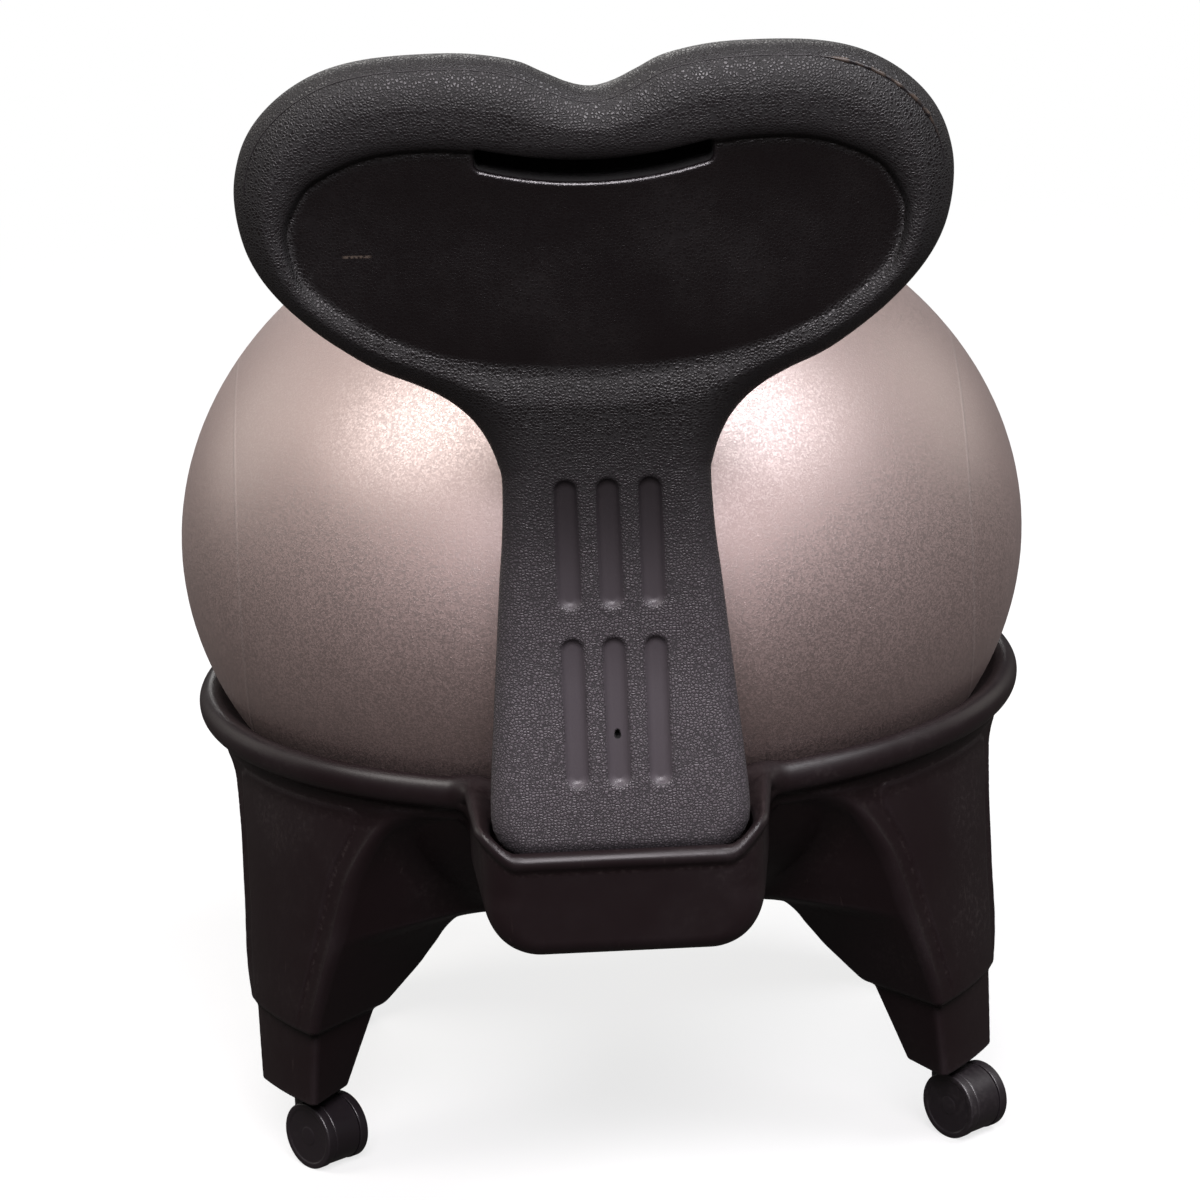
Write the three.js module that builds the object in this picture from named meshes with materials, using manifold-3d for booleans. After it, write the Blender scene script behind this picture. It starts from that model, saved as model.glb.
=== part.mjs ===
import * as THREE from 'three';
import { mergeVertices } from 'three/addons/utils/BufferGeometryUtils.js';
import Module from 'manifold-3d';

const wasm = await Module();
wasm.setup();

// Balance ball chair. Sizes are in millimetres, Z is up and the floor is at zero.
// The sitter faces -Y, so the backrest stands on the +Y side and +X is the sitter's left.
// Sizes are first worked out round the upright axis of the seat ring.

// Ball, pressed a little flat by its own filling and its seat
const ballRadius = 276;
const ballHalfHeight = 228;
const ballWall = 1.4;
const valveHoleRadius = 5.2;
const valveBossRadius = 15;
const valveBossThickness = 4.2;

// Valve plug under the ball
const plugHeadRadius = 8.5;
const plugHeadThickness = 1.6;
const plugTailLength = 10;
const plugTipRadius = 3.4;

// Seat ring and its bowl: the lip's crest sets the heights, the ball sets the radii
const lipCrestHeight = 284.5;
const lipDepth = 21;
const ringInset = 5.5;
const lipStep = 6;
const neckInset = 20;
const seatInset = 30;
const seatDrop = 11.88;
const bowlHoleShare = 0.605;
const bowlDepth = 30;
const bowlRelief = 14;
const bowlEdgeRadius = 4;
const neckHeight = 7;

// Legs, from the step above the foot up to the ring
const ledgeHeight = 99;
const legOverlap = 1.5;
const legRearFlare = 7.5;
const legSideInset = 4;
const legDepth = 67.5;
const legCornerRadius = 6;
const panelRelief = 2.4;
const panelInset = 24;
const panelTopDrop = 10;
const panelSink = 3;

// Lower legs under the step
const wheelTopGap = 6;
const footRearStep = 7;
const footSideStep = 1.5;
const footSplay = 4;
const footDepth = 62;
const footEndDepth = 43;
const footCornerRadius = 5;
const footSink = 6;

// Backrest, one hollow-looking moulded piece with its post
const backHalfWidth = 210;
const backRise = 260;
const neckRise = 237;
const neckHalfWidth = 62;
const postHalfWidth = 78.3;
const postFootRadius = 17;
const backThickness = 46;
const backEdgeRadius = 20;
const postEdgeRadius = 10;
const ballBackGap = 23;
const backTopLean = 36;
const backWrap = 14;

// Socket tub at the rear of the ring, round the foot of the post
const tubSideWall = 4.5;
const tubRearWall = 5.8;
const tubOverlap = 30.5;
const tubFlare = 9;
const tubRimDrop = 17.5;
const tubRimRise = 10;
const tubRimReach = 3.5;
const tubRimDepth = 9;
const tubDepth = 66;
const tubSideRadius = 38;
const tubRearRadius = 9;
const tubPlanRadius = 20;
const tubFloor = 12.7;
const postSink = 9;

// Recess, hand hold and grooves on the rear face of the backrest
const recessSideInset = 30;
const recessTopInset = 58;
const recessLowRise = 70;
const recessDepth = 14;
const recessBevel = 16;
const holdHalfWidth = 68;
const holdHeight = 12.6;
const holdDrop = 18;
const holdRise = 10;
const holdDepth = 26;
const grooveWidth = 14.6;
const grooveDepth = 5;
const groovePitch = 25;
const grooveTopRise = 3;
const upperGrooveLength = 82;
const grooveSpacing = 18;
const lowerGrooveLength = 93;
const ventRadius = 1.6;
const ventDepth = 6;
const ventRise = 40;

// Tenon under the post, and the two bolts that hold it
const tenonShoulder = 16.3;
const tenonStep = 4;
const tenonCornerRadius = 22;
const boltSpacing = 56;
const boltRadius = 4;
const boltReach = 30;
const boltHeadRadius = 7.2;
const boltHeadHeight = 5;
const boltSocketRadius = 3;
const boltSocketDepth = 3;
const washerRadius = 10;
const washerThickness = 1.6;
const boltRecessDepth = 8;
const boltRecessGap = 0.8;

// Casters
const stemInset = 20.5;
const wheelRadius = 22;
const wheelWidth = 6.5;
const wheelEdge = 1.6;
const wheelRimWidth = 7;
const wheelDishDepth = 1.2;
const wheelFaceWall = 2.4;
const hoodInset = 1;
const hoodWidth = 20;
const hoodBossInset = 0.4;
const hoodBossSink = 9;
const hoodTopGap = 0.9;
const casterTrail = 16;
const axleRadius = 3;
const stemRadius = 5;
const stemSocketDepth = 29;
const stemTopDrop = 2.6;
const stemGrooveDepth = 1;
const stemGrooveLength = 4;
const stemTip = 1.5;
const sleeveWall = 2.4;
const sleeveFlangeRadius = 13;
const sleeveFlangeThickness = 3.4;
const sleeveLength = 38;

// Gaps between pieces that touch, and the overrun of every cut
const fitGap = 0.3;
const seatGap = 0.6;
const postGap = 1.2;
const overrun = 2;

// Angles in degrees, measured from straight behind the ring towards its side
const stemAngle = 56;
const casterTurn = 42;

// Radii and heights that follow from the sizes above
const seatRadius = ballRadius - seatInset;
const lipInnerRadius = seatRadius + lipStep;
const neckRadius = ballRadius - neckInset;
const ringRadius = ballRadius - ringInset;
const bowlHoleRadius = ballRadius * bowlHoleShare;
const lipUnderHeight = lipCrestHeight - lipDepth;
const seatHeight = lipCrestHeight - seatDrop;
const ballCentreHeight = seatHeight + ballHalfHeight * Math.sqrt(1 - (seatRadius / ballRadius) ** 2);
const legRearReach = ringRadius + legRearFlare;
const legSideReach = ringRadius - legSideInset;
const legInnerRadius = ringRadius - legDepth;
const footHeight = 2 * wheelRadius + wheelTopGap;
const footTopRearReach = legRearReach - footRearStep;
const footTopSideReach = legSideReach - footSideStep;
const footTopInnerRadius = footTopRearReach - footDepth;
const footRearReach = footTopRearReach + footSplay;
const footSideReach = footTopSideReach + footSplay;
const footInnerRadius = footRearReach - footEndDepth;
const stemCircleRadius = ringRadius - stemInset;
const postMiddle = ballRadius + ballBackGap + backThickness / 2;
const tubHalfWidth = postHalfWidth + postGap + tubSideWall;
const tubRear = postMiddle + backThickness / 2 + postGap + tubRearWall;
const tubFront = ringRadius - tubOverlap;
const tubRimHeight = lipCrestHeight - tubRimDrop;
const tubBaseHeight = tubRimHeight - tubDepth;
const tubFloorTop = tubBaseHeight + tubFloor;
const postFootHeight = tubRimHeight - postSink;
const neckLineHeight = postFootHeight + neckRise;
const backTopHeight = neckLineHeight + backRise;
const recessHalfWidth = backHalfWidth - recessSideInset;
const recessTopHeight = backTopHeight - recessTopInset;
const recessLowHeight = neckLineHeight + recessLowRise;
const holdMiddleHeight = recessTopHeight - holdDrop;
const upperGrooveTop = neckLineHeight + grooveTopRise;
const lowerGrooveTop = upperGrooveTop - upperGrooveLength - grooveSpacing;
const tenonHalfWidth = postHalfWidth - tenonShoulder;
const tenonThickness = backThickness - 2 * tenonStep;
const tenonEnd = tubFloorTop + fitGap;
const hoodRadius = wheelRadius - hoodInset;
const hoodBossRadius = hoodWidth / 2 - hoodBossInset;
const hoodBossTop = footHeight - fitGap - sleeveFlangeThickness - hoodTopGap;
const hoodBossBottom = wheelRadius - hoodBossSink;
const wheelDishRadius = wheelRadius - wheelRimWidth;
const axleSeat = wheelWidth - wheelFaceWall;

// How finely the round shapes are stepped
const ringSteps = 36;
const ballSteps = 14;
const drumSteps = 20;
const pinSteps = 10;

// The lip's section: share from its inner edge to the ring's radius, share of its height
const lipShares = [
  [0, 0.64], [0.29, 0.905], [0.59, 1], [0.85, 0.88], [1, 0.62], [0.97, 0.31], [0.79, 0.095], [0.47, 0],
];
// Stations of the bowl's wall, as shares of the way from the seat down to the hole
const bowlShares = [0, 0.08, 0.2, 0.42, 0.68, 1];

// Leg sections. Each row holds the share of the height from the step to the lip, the four
// corner angles (rear outer, side outer, rear inner, side inner), the share of the outer
// flare that is left, and the share of the way in from the ring's neck to the inner radius.
const legShares = [
  [0, 46, 66, 49.4, 63, 1, 1],
  [0.08, 45.3, 66.7, 48.3, 63.8, 0.96, 1.3],
  [0.166, 44.4, 67.1, 46.8, 65, 0.89, 1.58],
  [0.252, 43.5, 67.4, 44, 67.4, 0.83, 1.7],
  [0.35, 42.5, 67.8, 38.5, 72.7, 0.74, 1.71],
  [0.423, 41.8, 68.3, 31, 79, 0.66, 1.64],
  [0.497, 41.1, 68.8, 31, 79, 0.59, 1.54],
  [0.65, 39.5, 69.8, 33.6, 76, 0.44, 1.04],
  [0.755, 37.6, 71.2, 34.4, 74.9, 0.31, 0.76],
  [0.847, 35.3, 73, 33.6, 74.9, 0.18, 0.56],
  [0.908, 32.8, 75.3, 31.8, 76.2, 0.09, 0.44],
  [0.945, 30.3, 78.5, 29.8, 79.2, 0.05, 0.38],
  [0.975, 26, 84, 25.8, 84.2, 0.02, 0.35],
  [1, 24, 86, 23.8, 86.2, 0, 0.32],
];
// Lower leg sections: share of the height from the floor end up to the step, corner angles
const footShares = [
  [0, 47.3, 62.6, 51, 59.5],
  [0.45, 47.3, 63.6, 50.6, 60.6],
  [1, 47.3, 64.8, 50, 62],
];
// Tub sections: share of the height from the base to the rim's underside, share of the
// rim's slope, and the shares of the two lower radii by which sides and rear draw in
const tubShares = [
  [0, 0, 1, 1], [0.03, 0, 0.78, 0.7], [0.11, 0, 0.5, 0.38], [0.25, 0, 0.27, 0.16],
  [0.46, 0, 0.11, 0.05], [0.68, 0.2, 0.03, 0], [1, 1, 0, 0],
];
// Right half of the backrest's outline, from the notch down to the neck: share of its half
// width, and share of its height from the neck line up
const backShares = [
  [0, 0.914], [0.06, 0.924], [0.13, 0.95], [0.205, 0.978], [0.33, 0.997], [0.47, 1], [0.62, 0.992],
  [0.738, 0.969], [0.838, 0.927], [0.919, 0.869], [0.971, 0.804], [0.998, 0.727], [1, 0.654],
  [0.983, 0.577], [0.952, 0.515], [0.905, 0.458], [0.843, 0.404], [0.762, 0.348], [0.638, 0.281],
  [0.529, 0.242], [0.457, 0.212], [0.4, 0.177], [0.355, 0.135], [0.324, 0.088], [0.305, 0.042],
];
// The post's side: share of the way from the neck to the foot, share of its widening
const postShares = [
  [0, 0], [0.14, 0.08], [0.28, 0.28], [0.42, 0.46], [0.56, 0.64], [0.72, 0.84], [0.84, 0.98], [0.91, 1],
];
// Right half of the recess's floor: share of its half width, share of its height, and
// share of the bevel that the wall leans out by
const recessShares = [
  [0, 0.95, 0.45], [0.2, 0.965, 0.45], [0.38, 1, 0.45], [0.56, 1.015, 0.45], [0.73, 0.99, 0.45],
  [0.88, 0.905, 0.5], [0.975, 0.78, 0.55], [1, 0.645, 0.6], [0.955, 0.44, 0.7], [0.84, 0.295, 0.85],
  [0.7, 0.175, 0.95], [0.49, 0.07, 1], [0.26, 0.02, 1], [0, 0, 1],
];
// Lean of the backrest: share of its height from the foot up, share of its lean
const leanShares = [
  [0, 0], [0.22, 0], [0.36, 0.1], [0.48, 0.26], [0.58, 0.44], [0.69, 0.64], [0.85, 0.86], [1, 1],
];

const black = { color: 0x1b191c, roughness: 0.62, metalness: 0 };
const darkBlack = { color: 0x161517, roughness: 0.42, metalness: 0 };
const silver = { color: 0x9b9696, roughness: 0.38, metalness: 0.1 };
const steel = { color: 0x8c8d90, roughness: 0.3, metalness: 1 };
const paleGrey = { color: 0xbdbab6, roughness: 0.55, metalness: 0 };

const chair = new THREE.Group();

function mix(a, b, share) {
  return a + (b - a) * share;
}

// Reads a table at a share, between its rows
function readTable(table, share, column) {
  for (let i = 1; i < table.length; i += 1) {
    if (share <= table[i][0] || i === table.length - 1) {
      const [low, high] = [table[i - 1], table[i]];
      const part = Math.min(1, Math.max(0, (share - low[0]) / (high[0] - low[0])));
      return mix(low[column], high[column], part);
    }
  }
  return table[0][column];
}

// A point at an angle from straight behind, a radius out from the ring's axis
function ringPoint(angle, radius, height) {
  const turn = THREE.MathUtils.degToRad(angle);
  return new THREE.Vector3(radius * Math.sin(turn), radius * Math.cos(turn), height);
}

// Height of the ball's underside at a radius
function ballUnderside(radius) {
  const across = Math.min(1, radius / ballRadius);
  return ballCentreHeight - ballHalfHeight * Math.sqrt(1 - across * across);
}

// Turns a geometry into a solid, with its faces pointing out
function toSolid(geometry) {
  const bare = new THREE.BufferGeometry();
  bare.setAttribute('position', geometry.getAttribute('position').clone());
  if (geometry.index) bare.setIndex(geometry.index.clone());
  const merged = mergeVertices(bare);
  const spots = merged.getAttribute('position').array;
  const index = merged.index.array;
  const faces = [];
  let volume = 0;
  for (let i = 0; i < index.length; i += 3) {
    const [a, b, c] = [index[i], index[i + 1], index[i + 2]];
    if (a === b || b === c || c === a) continue;
    faces.push(a, b, c);
    const p = new THREE.Vector3().fromArray(spots, 3 * a);
    const q = new THREE.Vector3().fromArray(spots, 3 * b);
    const r = new THREE.Vector3().fromArray(spots, 3 * c);
    volume += p.dot(q.cross(r));
  }
  if (volume < 0) {
    for (let i = 0; i < faces.length; i += 3) [faces[i], faces[i + 1]] = [faces[i + 1], faces[i]];
  }
  return new wasm.Manifold(new wasm.Mesh({
    numProp: 3,
    vertProperties: Float32Array.from(spots),
    triVerts: Uint32Array.from(faces),
  }));
}

function toGeometry(solid) {
  const mesh = solid.getMesh();
  const geometry = new THREE.BufferGeometry();
  geometry.setAttribute('position', new THREE.BufferAttribute(Float32Array.from(mesh.vertProperties), 3));
  geometry.setIndex(new THREE.BufferAttribute(Uint32Array.from(mesh.triVerts), 1));
  geometry.computeVertexNormals();
  return geometry;
}

function addPiece(parent, name, geometry, look) {
  const mesh = new THREE.Mesh(geometry, new THREE.MeshStandardMaterial(look));
  mesh.name = name;
  parent.add(mesh);
  return mesh;
}

// Joins rings of points, all with the same count, into one closed body
function loft(rings) {
  const count = rings[0].length;
  const spots = [];
  const faces = [];
  for (const ring of rings) {
    for (const point of ring) spots.push(point.x, point.y, point.z);
  }
  for (let k = 0; k + 1 < rings.length; k += 1) {
    for (let i = 0; i < count; i += 1) {
      const j = (i + 1) % count;
      const [a, b, c, d] = [k * count + i, k * count + j, (k + 1) * count + j, (k + 1) * count + i];
      faces.push(a, b, c, a, c, d);
    }
  }
  const capFaces = (ring, start, flip) => {
    const middle = ring.reduce((sum, point) => sum.add(point), new THREE.Vector3()).divideScalar(count);
    const normal = new THREE.Vector3();
    for (let i = 0; i < count; i += 1) {
      const first = ring[i].clone().sub(middle);
      normal.add(first.cross(ring[(i + 1) % count].clone().sub(middle)));
    }
    normal.normalize();
    const across = new THREE.Vector3().crossVectors(Math.abs(normal.z) > 0.5
      ? new THREE.Vector3(0, 1, 0) : new THREE.Vector3(0, 0, 1), normal).normalize();
    const up = new THREE.Vector3().crossVectors(normal, across);
    const flat = ring.map((point) => new THREE.Vector2(
      point.clone().sub(middle).dot(across), point.clone().sub(middle).dot(up)));
    for (const [a, b, c] of THREE.ShapeUtils.triangulateShape(flat, [])) {
      if (flip) faces.push(start + c, start + b, start + a);
      else faces.push(start + a, start + b, start + c);
    }
  };
  capFaces(rings[0], 0, true);
  capFaces(rings[rings.length - 1], (rings.length - 1) * count, false);
  const geometry = new THREE.BufferGeometry();
  geometry.setAttribute('position', new THREE.Float32BufferAttribute(spots, 3));
  geometry.setIndex(faces);
  return toSolid(geometry);
}

// Turns a profile of [radius, height] pairs round the upright axis
function revolve(profile, steps) {
  const points = profile.map(([radius, height]) => new THREE.Vector2(radius, height));
  const geometry = new THREE.LatheGeometry(points, steps);
  geometry.rotateX(Math.PI / 2);
  return toSolid(geometry);
}

function closeProfile(profile) {
  return [...profile, profile[0]];
}

// A round bar along Z from one height to another
function bar(radius, low, high, steps) {
  return revolve([[0, low], [radius, low], [radius, high], [0, high]], steps);
}

// Moves every outline point in by its own distance, square to the outline
function insetOutline(outline, distances) {
  const count = outline.length;
  let area = 0;
  for (let i = 0; i < count; i += 1) {
    const [p, q] = [outline[i], outline[(i + 1) % count]];
    area += p.x * q.y - q.x * p.y;
  }
  const side = area > 0 ? 1 : -1;
  return outline.map((point, i) => {
    const before = outline[(i + count - 1) % count];
    const after = outline[(i + 1) % count];
    const first = point.clone().sub(before).normalize();
    const second = after.clone().sub(point).normalize();
    const along = first.add(second).normalize();
    const inward = new THREE.Vector2(-along.y, along.x).multiplyScalar(side);
    return point.clone().addScaledVector(inward, distances[i]);
  });
}

// A flat outline at a depth: x stays across, y becomes height and depth runs along Y
function ringAtDepth(outline, depth) {
  return outline.map((point) => new THREE.Vector3(point.x, depth, point.y));
}

// Both halves of an outline whose right half runs from top middle to bottom middle
function mirrorOutline(half) {
  const left = half.filter((row) => row[0] > 0).map(([x, ...rest]) => [-x, ...rest]).reverse();
  return [...half, ...left];
}

// Seat ring with its bowl
const bowlRadii = bowlShares.map((share) => mix(seatRadius, bowlHoleRadius, share));
const bowlInside = bowlRadii.map((radius, i) => [
  radius, ballUnderside(radius) - mix(seatGap, bowlRelief, Math.sqrt(bowlShares[i])),
]);
const lipSection = lipShares.map(([across, up]) => [
  mix(lipInnerRadius, ringRadius, across), mix(lipUnderHeight, lipCrestHeight, up),
]);
const skirtBottom = lipUnderHeight - neckHeight;
const bowlOutside = bowlRadii.map((radius) => [radius, ballUnderside(radius) - bowlDepth]).reverse();
bowlOutside[0][0] += bowlEdgeRadius;
const ringProfile = closeProfile([
  ...[...bowlInside].reverse(),
  ...lipSection,
  [neckRadius, lipUnderHeight - neckHeight / 5],
  [neckRadius - legOverlap, skirtBottom],
  ...[...bowlOutside].reverse(),
  [bowlHoleRadius, bowlOutside[0][1] + bowlEdgeRadius],
]);
const ringSolid = revolve(ringProfile, ringSteps);

// Space that the ball and its bowl keep free, taken a little inside the bowl's wall
const ballSpace = revolve([
  [0, bowlInside[bowlInside.length - 1][1]],
  ...bowlInside.map(([radius, height]) => [radius + legOverlap, height]).reverse(),
  ...lipSection.slice(0, 3).map(([radius, height]) => [radius + legOverlap, height]),
  [lipSection[2][0] + legOverlap, lipCrestHeight + ballHalfHeight],
  [0, lipCrestHeight + ballHalfHeight],
], ringSteps);

// One leg section as a closed ring of points
function legSection(share, insetRear, insetSide, relief, sunk) {
  const height = mix(ledgeHeight, lipUnderHeight - legOverlap, share);
  const flare = readTable(legShares, share, 5);
  const rear = mix(neckRadius - legOverlap, legRearReach, flare);
  const side = mix(neckRadius - legOverlap, legSideReach, flare);
  const deep = mix(neckRadius, legInnerRadius, readTable(legShares, share, 6));
  const rearAngle = readTable(legShares, share, 1);
  const sideAngle = readTable(legShares, share, 2);
  const turnOf = (length, radius) => THREE.MathUtils.radToDeg(length / radius);
  const reach = (angle) => mix(rear, side, (angle - rearAngle) / (sideAngle - rearAngle));
  const start = rearAngle + turnOf(insetRear, rear);
  const end = sideAngle - turnOf(insetSide, side);
  const corner = turnOf(legCornerRadius, rear);
  const points = [];
  const steps = 4;
  if (sunk > 0) {
    points.push(ringPoint(start, reach(start) - sunk, height));
    for (let i = 0; i <= steps; i += 1) {
      const angle = mix(start + corner / 4, end - corner / 4, i / steps);
      points.push(ringPoint(angle, reach(angle) + relief, height));
    }
    points.push(ringPoint(end, reach(end) - sunk, height));
    return points;
  }
  points.push(ringPoint(start, reach(start) - legCornerRadius, height));
  points.push(ringPoint(start + corner / 3.4, reach(start) - legCornerRadius / 3.4, height));
  for (let i = 0; i <= steps; i += 1) {
    const angle = mix(start + corner, end - corner, i / steps);
    points.push(ringPoint(angle, reach(angle), height));
  }
  points.push(ringPoint(end - corner / 3.4, reach(end) - legCornerRadius / 3.4, height));
  points.push(ringPoint(end, reach(end) - legCornerRadius, height));
  points.push(ringPoint(readTable(legShares, share, 4), deep, height));
  points.push(ringPoint(mix(rearAngle, sideAngle, 0.5), deep, height));
  points.push(ringPoint(readTable(legShares, share, 3), deep, height));
  return points;
}

// The raised panel on a leg, which fades towards the step
function legPanel() {
  const top = 1 - panelTopDrop / (lipUnderHeight - ledgeHeight);
  const shares = [0.04, 0.35, 0.65, 0.8, 0.88, top];
  return loft(shares.map((share) => {
    const relief = panelRelief * Math.sqrt(Math.min(1, share / 0.65));
    return legSection(share, panelInset, panelInset * 0.6, relief, panelSink);
  }));
}

function footSection(share) {
  const bottomToTop = Math.min(1, share);
  const height = share > 1 ? ledgeHeight + footSink : mix(footHeight, ledgeHeight, share);
  const rear = mix(footRearReach, footTopRearReach, bottomToTop);
  const side = mix(footSideReach, footTopSideReach, bottomToTop);
  const deep = mix(footInnerRadius, footTopInnerRadius, bottomToTop);
  const angles = [1, 2, 3, 4].map((column) => readTable(footShares, bottomToTop, column));
  const corner = THREE.MathUtils.radToDeg(footCornerRadius / rear);
  const points = [];
  const steps = 4;
  points.push(ringPoint(angles[0], rear - footCornerRadius, height));
  for (let i = 0; i <= steps; i += 1) {
    const angle = mix(angles[0] + corner, angles[1] - corner, i / steps);
    points.push(ringPoint(angle, mix(rear, side, i / steps), height));
  }
  points.push(ringPoint(angles[1], side - footCornerRadius, height));
  points.push(ringPoint(angles[3], deep, height));
  points.push(ringPoint(angles[2], deep, height));
  return points;
}

const stemPlace = ringPoint(stemAngle, stemCircleRadius, 0);
const sleeveRadius = stemRadius + fitGap + sleeveWall;
const sleeveTop = footHeight + sleeveLength;

function makeLeg() {
  const upper = loft(legShares.map((row) => legSection(row[0], 0, 0, 0, 0)));
  const lower = loft([0, 0.45, 1, 1 + footSink / ledgeHeight].map((share) => footSection(share)));
  const hole = bar(sleeveRadius + fitGap, footHeight - overrun, sleeveTop + fitGap, pinSteps)
    .translate([stemPlace.x, stemPlace.y, 0]);
  return upper.add(legPanel()).add(lower).subtract(hole);
}

// Socket tub: plan outlines stacked from its base to its rim
function tubSection(height, slope, sideIn, rearIn) {
  const rear = tubRear - rearIn;
  const length = tubRear - tubFront;
  const widthAt = (y) => tubHalfWidth - sideIn + tubFlare * Math.max(0, (tubRear - y) / length);
  const heightAt = (y) => height + slope * tubRimRise * (tubRear - y) / length;
  const half = [[widthAt(tubFront), tubFront]];
  const bend = tubPlanRadius;
  for (let i = 0; i <= 4; i += 1) {
    const turn = (Math.PI / 2) * (i / 4);
    const y = rear - bend + bend * Math.sin(turn);
    half.push([widthAt(rear - bend) - bend + bend * Math.cos(turn), y]);
  }
  const left = half.map(([x, y]) => [-x, y]).reverse();
  return [...half, ...left].map(([x, y]) => new THREE.Vector3(x, y, heightAt(y)));
}

const rimUnder = tubRimHeight - tubRimDepth;
const tubRings = tubShares.map(([up, slope, sideShare, rearShare]) => tubSection(
  mix(tubBaseHeight, rimUnder - tubRimReach, up), slope, tubSideRadius * sideShare, tubRearRadius * rearShare));
tubRings.push(tubSection(rimUnder, 1, -tubRimReach, -tubRimReach));
tubRings.push(tubSection(tubRimHeight - tubRimReach / 2, 1, -tubRimReach, -tubRimReach));
tubRings.push(tubSection(tubRimHeight, 1, -tubRimReach / 2, -tubRimReach / 2));

// A block with upright edges rounded, centred on the post
function postBlock(halfWidth, thickness, radius, low, high) {
  const outline = [];
  for (const [sideX, sideY, start] of [[1, 1, 0], [-1, 1, 90], [-1, -1, 180], [1, -1, 270]]) {
    for (let i = 0; i <= 3; i += 1) {
      const turn = THREE.MathUtils.degToRad(start + 30 * i);
      outline.push([
        sideX * (halfWidth - radius) + radius * Math.cos(turn),
        postMiddle + sideY * (thickness / 2 - radius) + radius * Math.sin(turn),
      ]);
    }
  }
  return loft([low, high].map((height) => outline.map(([x, y]) => new THREE.Vector3(x, y, height))));
}

const rimTop = tubRimHeight + tubRimRise + overrun;
const upperPocket = postBlock(postHalfWidth + postGap, backThickness + 2 * postGap, postEdgeRadius,
  postFootHeight - seatGap, rimTop);
const lowerPocket = postBlock(tenonHalfWidth + postGap, tenonThickness + 2 * postGap, postGap,
  tenonEnd - fitGap, postFootHeight);
const boltRecessTop = tubBaseHeight + boltRecessDepth;
const boltHoles = [-1, 1].map((side) => bar(boltRadius + fitGap, tubBaseHeight - overrun,
  tubFloorTop + overrun, pinSteps)
  .add(bar(washerRadius + boltRecessGap, tubBaseHeight - overrun, boltRecessTop, pinSteps))
  .translate([side * boltSpacing / 2, postMiddle, 0]));

let baseSolid = loft(tubRings);
for (const side of [-1, 1]) {
  for (const end of [-1, 1]) {
    const leg = toGeometry(makeLeg());
    leg.scale(side, end, 1);
    baseSolid = baseSolid.add(toSolid(leg));
  }
}
baseSolid = baseSolid.subtract(ballSpace).add(ringSolid);
baseSolid = baseSolid.subtract(upperPocket).subtract(lowerPocket);
for (const hole of boltHoles) baseSolid = baseSolid.subtract(hole);
addPiece(chair, 'base', toGeometry(baseSolid), black);

// Backrest, first flat: x across, height up, depth along Y round its own middle plane
const backSpan = backTopHeight - neckLineHeight;
const halfOutline = backShares.map(([across, up]) => [
  across * backHalfWidth, neckLineHeight + up * backSpan,
]);
const postSpan = neckLineHeight - postFootHeight;
for (const [down, wide] of postShares) {
  halfOutline.push([mix(neckHalfWidth, postHalfWidth, wide), neckLineHeight - down * postSpan]);
}
for (const turnShare of [0.33, 0.67, 1]) {
  const turn = (Math.PI / 2) * turnShare;
  halfOutline.push([
    postHalfWidth - postFootRadius + postFootRadius * Math.cos(turn),
    postFootHeight + postFootRadius - postFootRadius * Math.sin(turn),
  ]);
}
const backOutline = mirrorOutline(halfOutline).map(([x, z]) => new THREE.Vector2(x, z));
const edgeRadii = backOutline.map((point) => {
  const share = THREE.MathUtils.smoothstep(point.y, mix(neckLineHeight, postFootHeight, 0.15),
    mix(neckLineHeight, backTopHeight, 0.3));
  return mix(postEdgeRadius, backEdgeRadius, share);
});
const edgeTurns = [0, 32, 62, 90];
const backRings = [];
for (const face of [-1, 1]) {
  const turns = face < 0 ? edgeTurns : [...edgeTurns].reverse();
  for (const degrees of turns) {
    const turn = THREE.MathUtils.degToRad(degrees);
    const moved = insetOutline(backOutline, edgeRadii.map((radius) => radius * (1 - Math.sin(turn))));
    const ring = moved.map((point, i) => new THREE.Vector3(
      point.x, face * (backThickness / 2 - edgeRadii[i] * (1 - Math.cos(turn))), point.y));
    backRings.push(ring);
  }
}
let backSolid = loft(backRings);

// Recess with a leaning wall
const recessSpan = recessTopHeight - recessLowHeight;
const recessRows = mirrorOutline(recessShares.map(([across, up, lean]) => [
  across * recessHalfWidth, recessLowHeight + up * recessSpan, lean,
]));
const recessOutline = recessRows.map(([x, z]) => new THREE.Vector2(x, z));
const recessFloor = backThickness / 2 - recessDepth;
const recessRings = [[0, 0], [0.35, 0.12], [0.8, 0.55], [1, 1]].map(([out, up]) => ringAtDepth(
  insetOutline(recessOutline, recessRows.map((row) => -row[2] * recessBevel * out)),
  recessFloor + up * recessDepth));
recessRings.push(recessRings[recessRings.length - 1].map((point) => new THREE.Vector3(
  point.x, point.y + overrun, point.z)));
backSolid = backSolid.subtract(loft(recessRings));

// Hand hold: a curved slot that stops short of the front face
const holdOutline = [];
for (const edge of [-1, 1]) {
  for (let i = -4; i <= 4; i += 1) {
    const across = edge * i / 4;
    holdOutline.push(new THREE.Vector2(-across * holdHalfWidth,
      holdMiddleHeight + holdRise * across * across - edge * holdHeight / 2));
  }
}
backSolid = backSolid.subtract(loft([
  ringAtDepth(holdOutline, recessFloor - holdDepth),
  ringAtDepth(holdOutline, recessFloor + overrun),
]));

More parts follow.
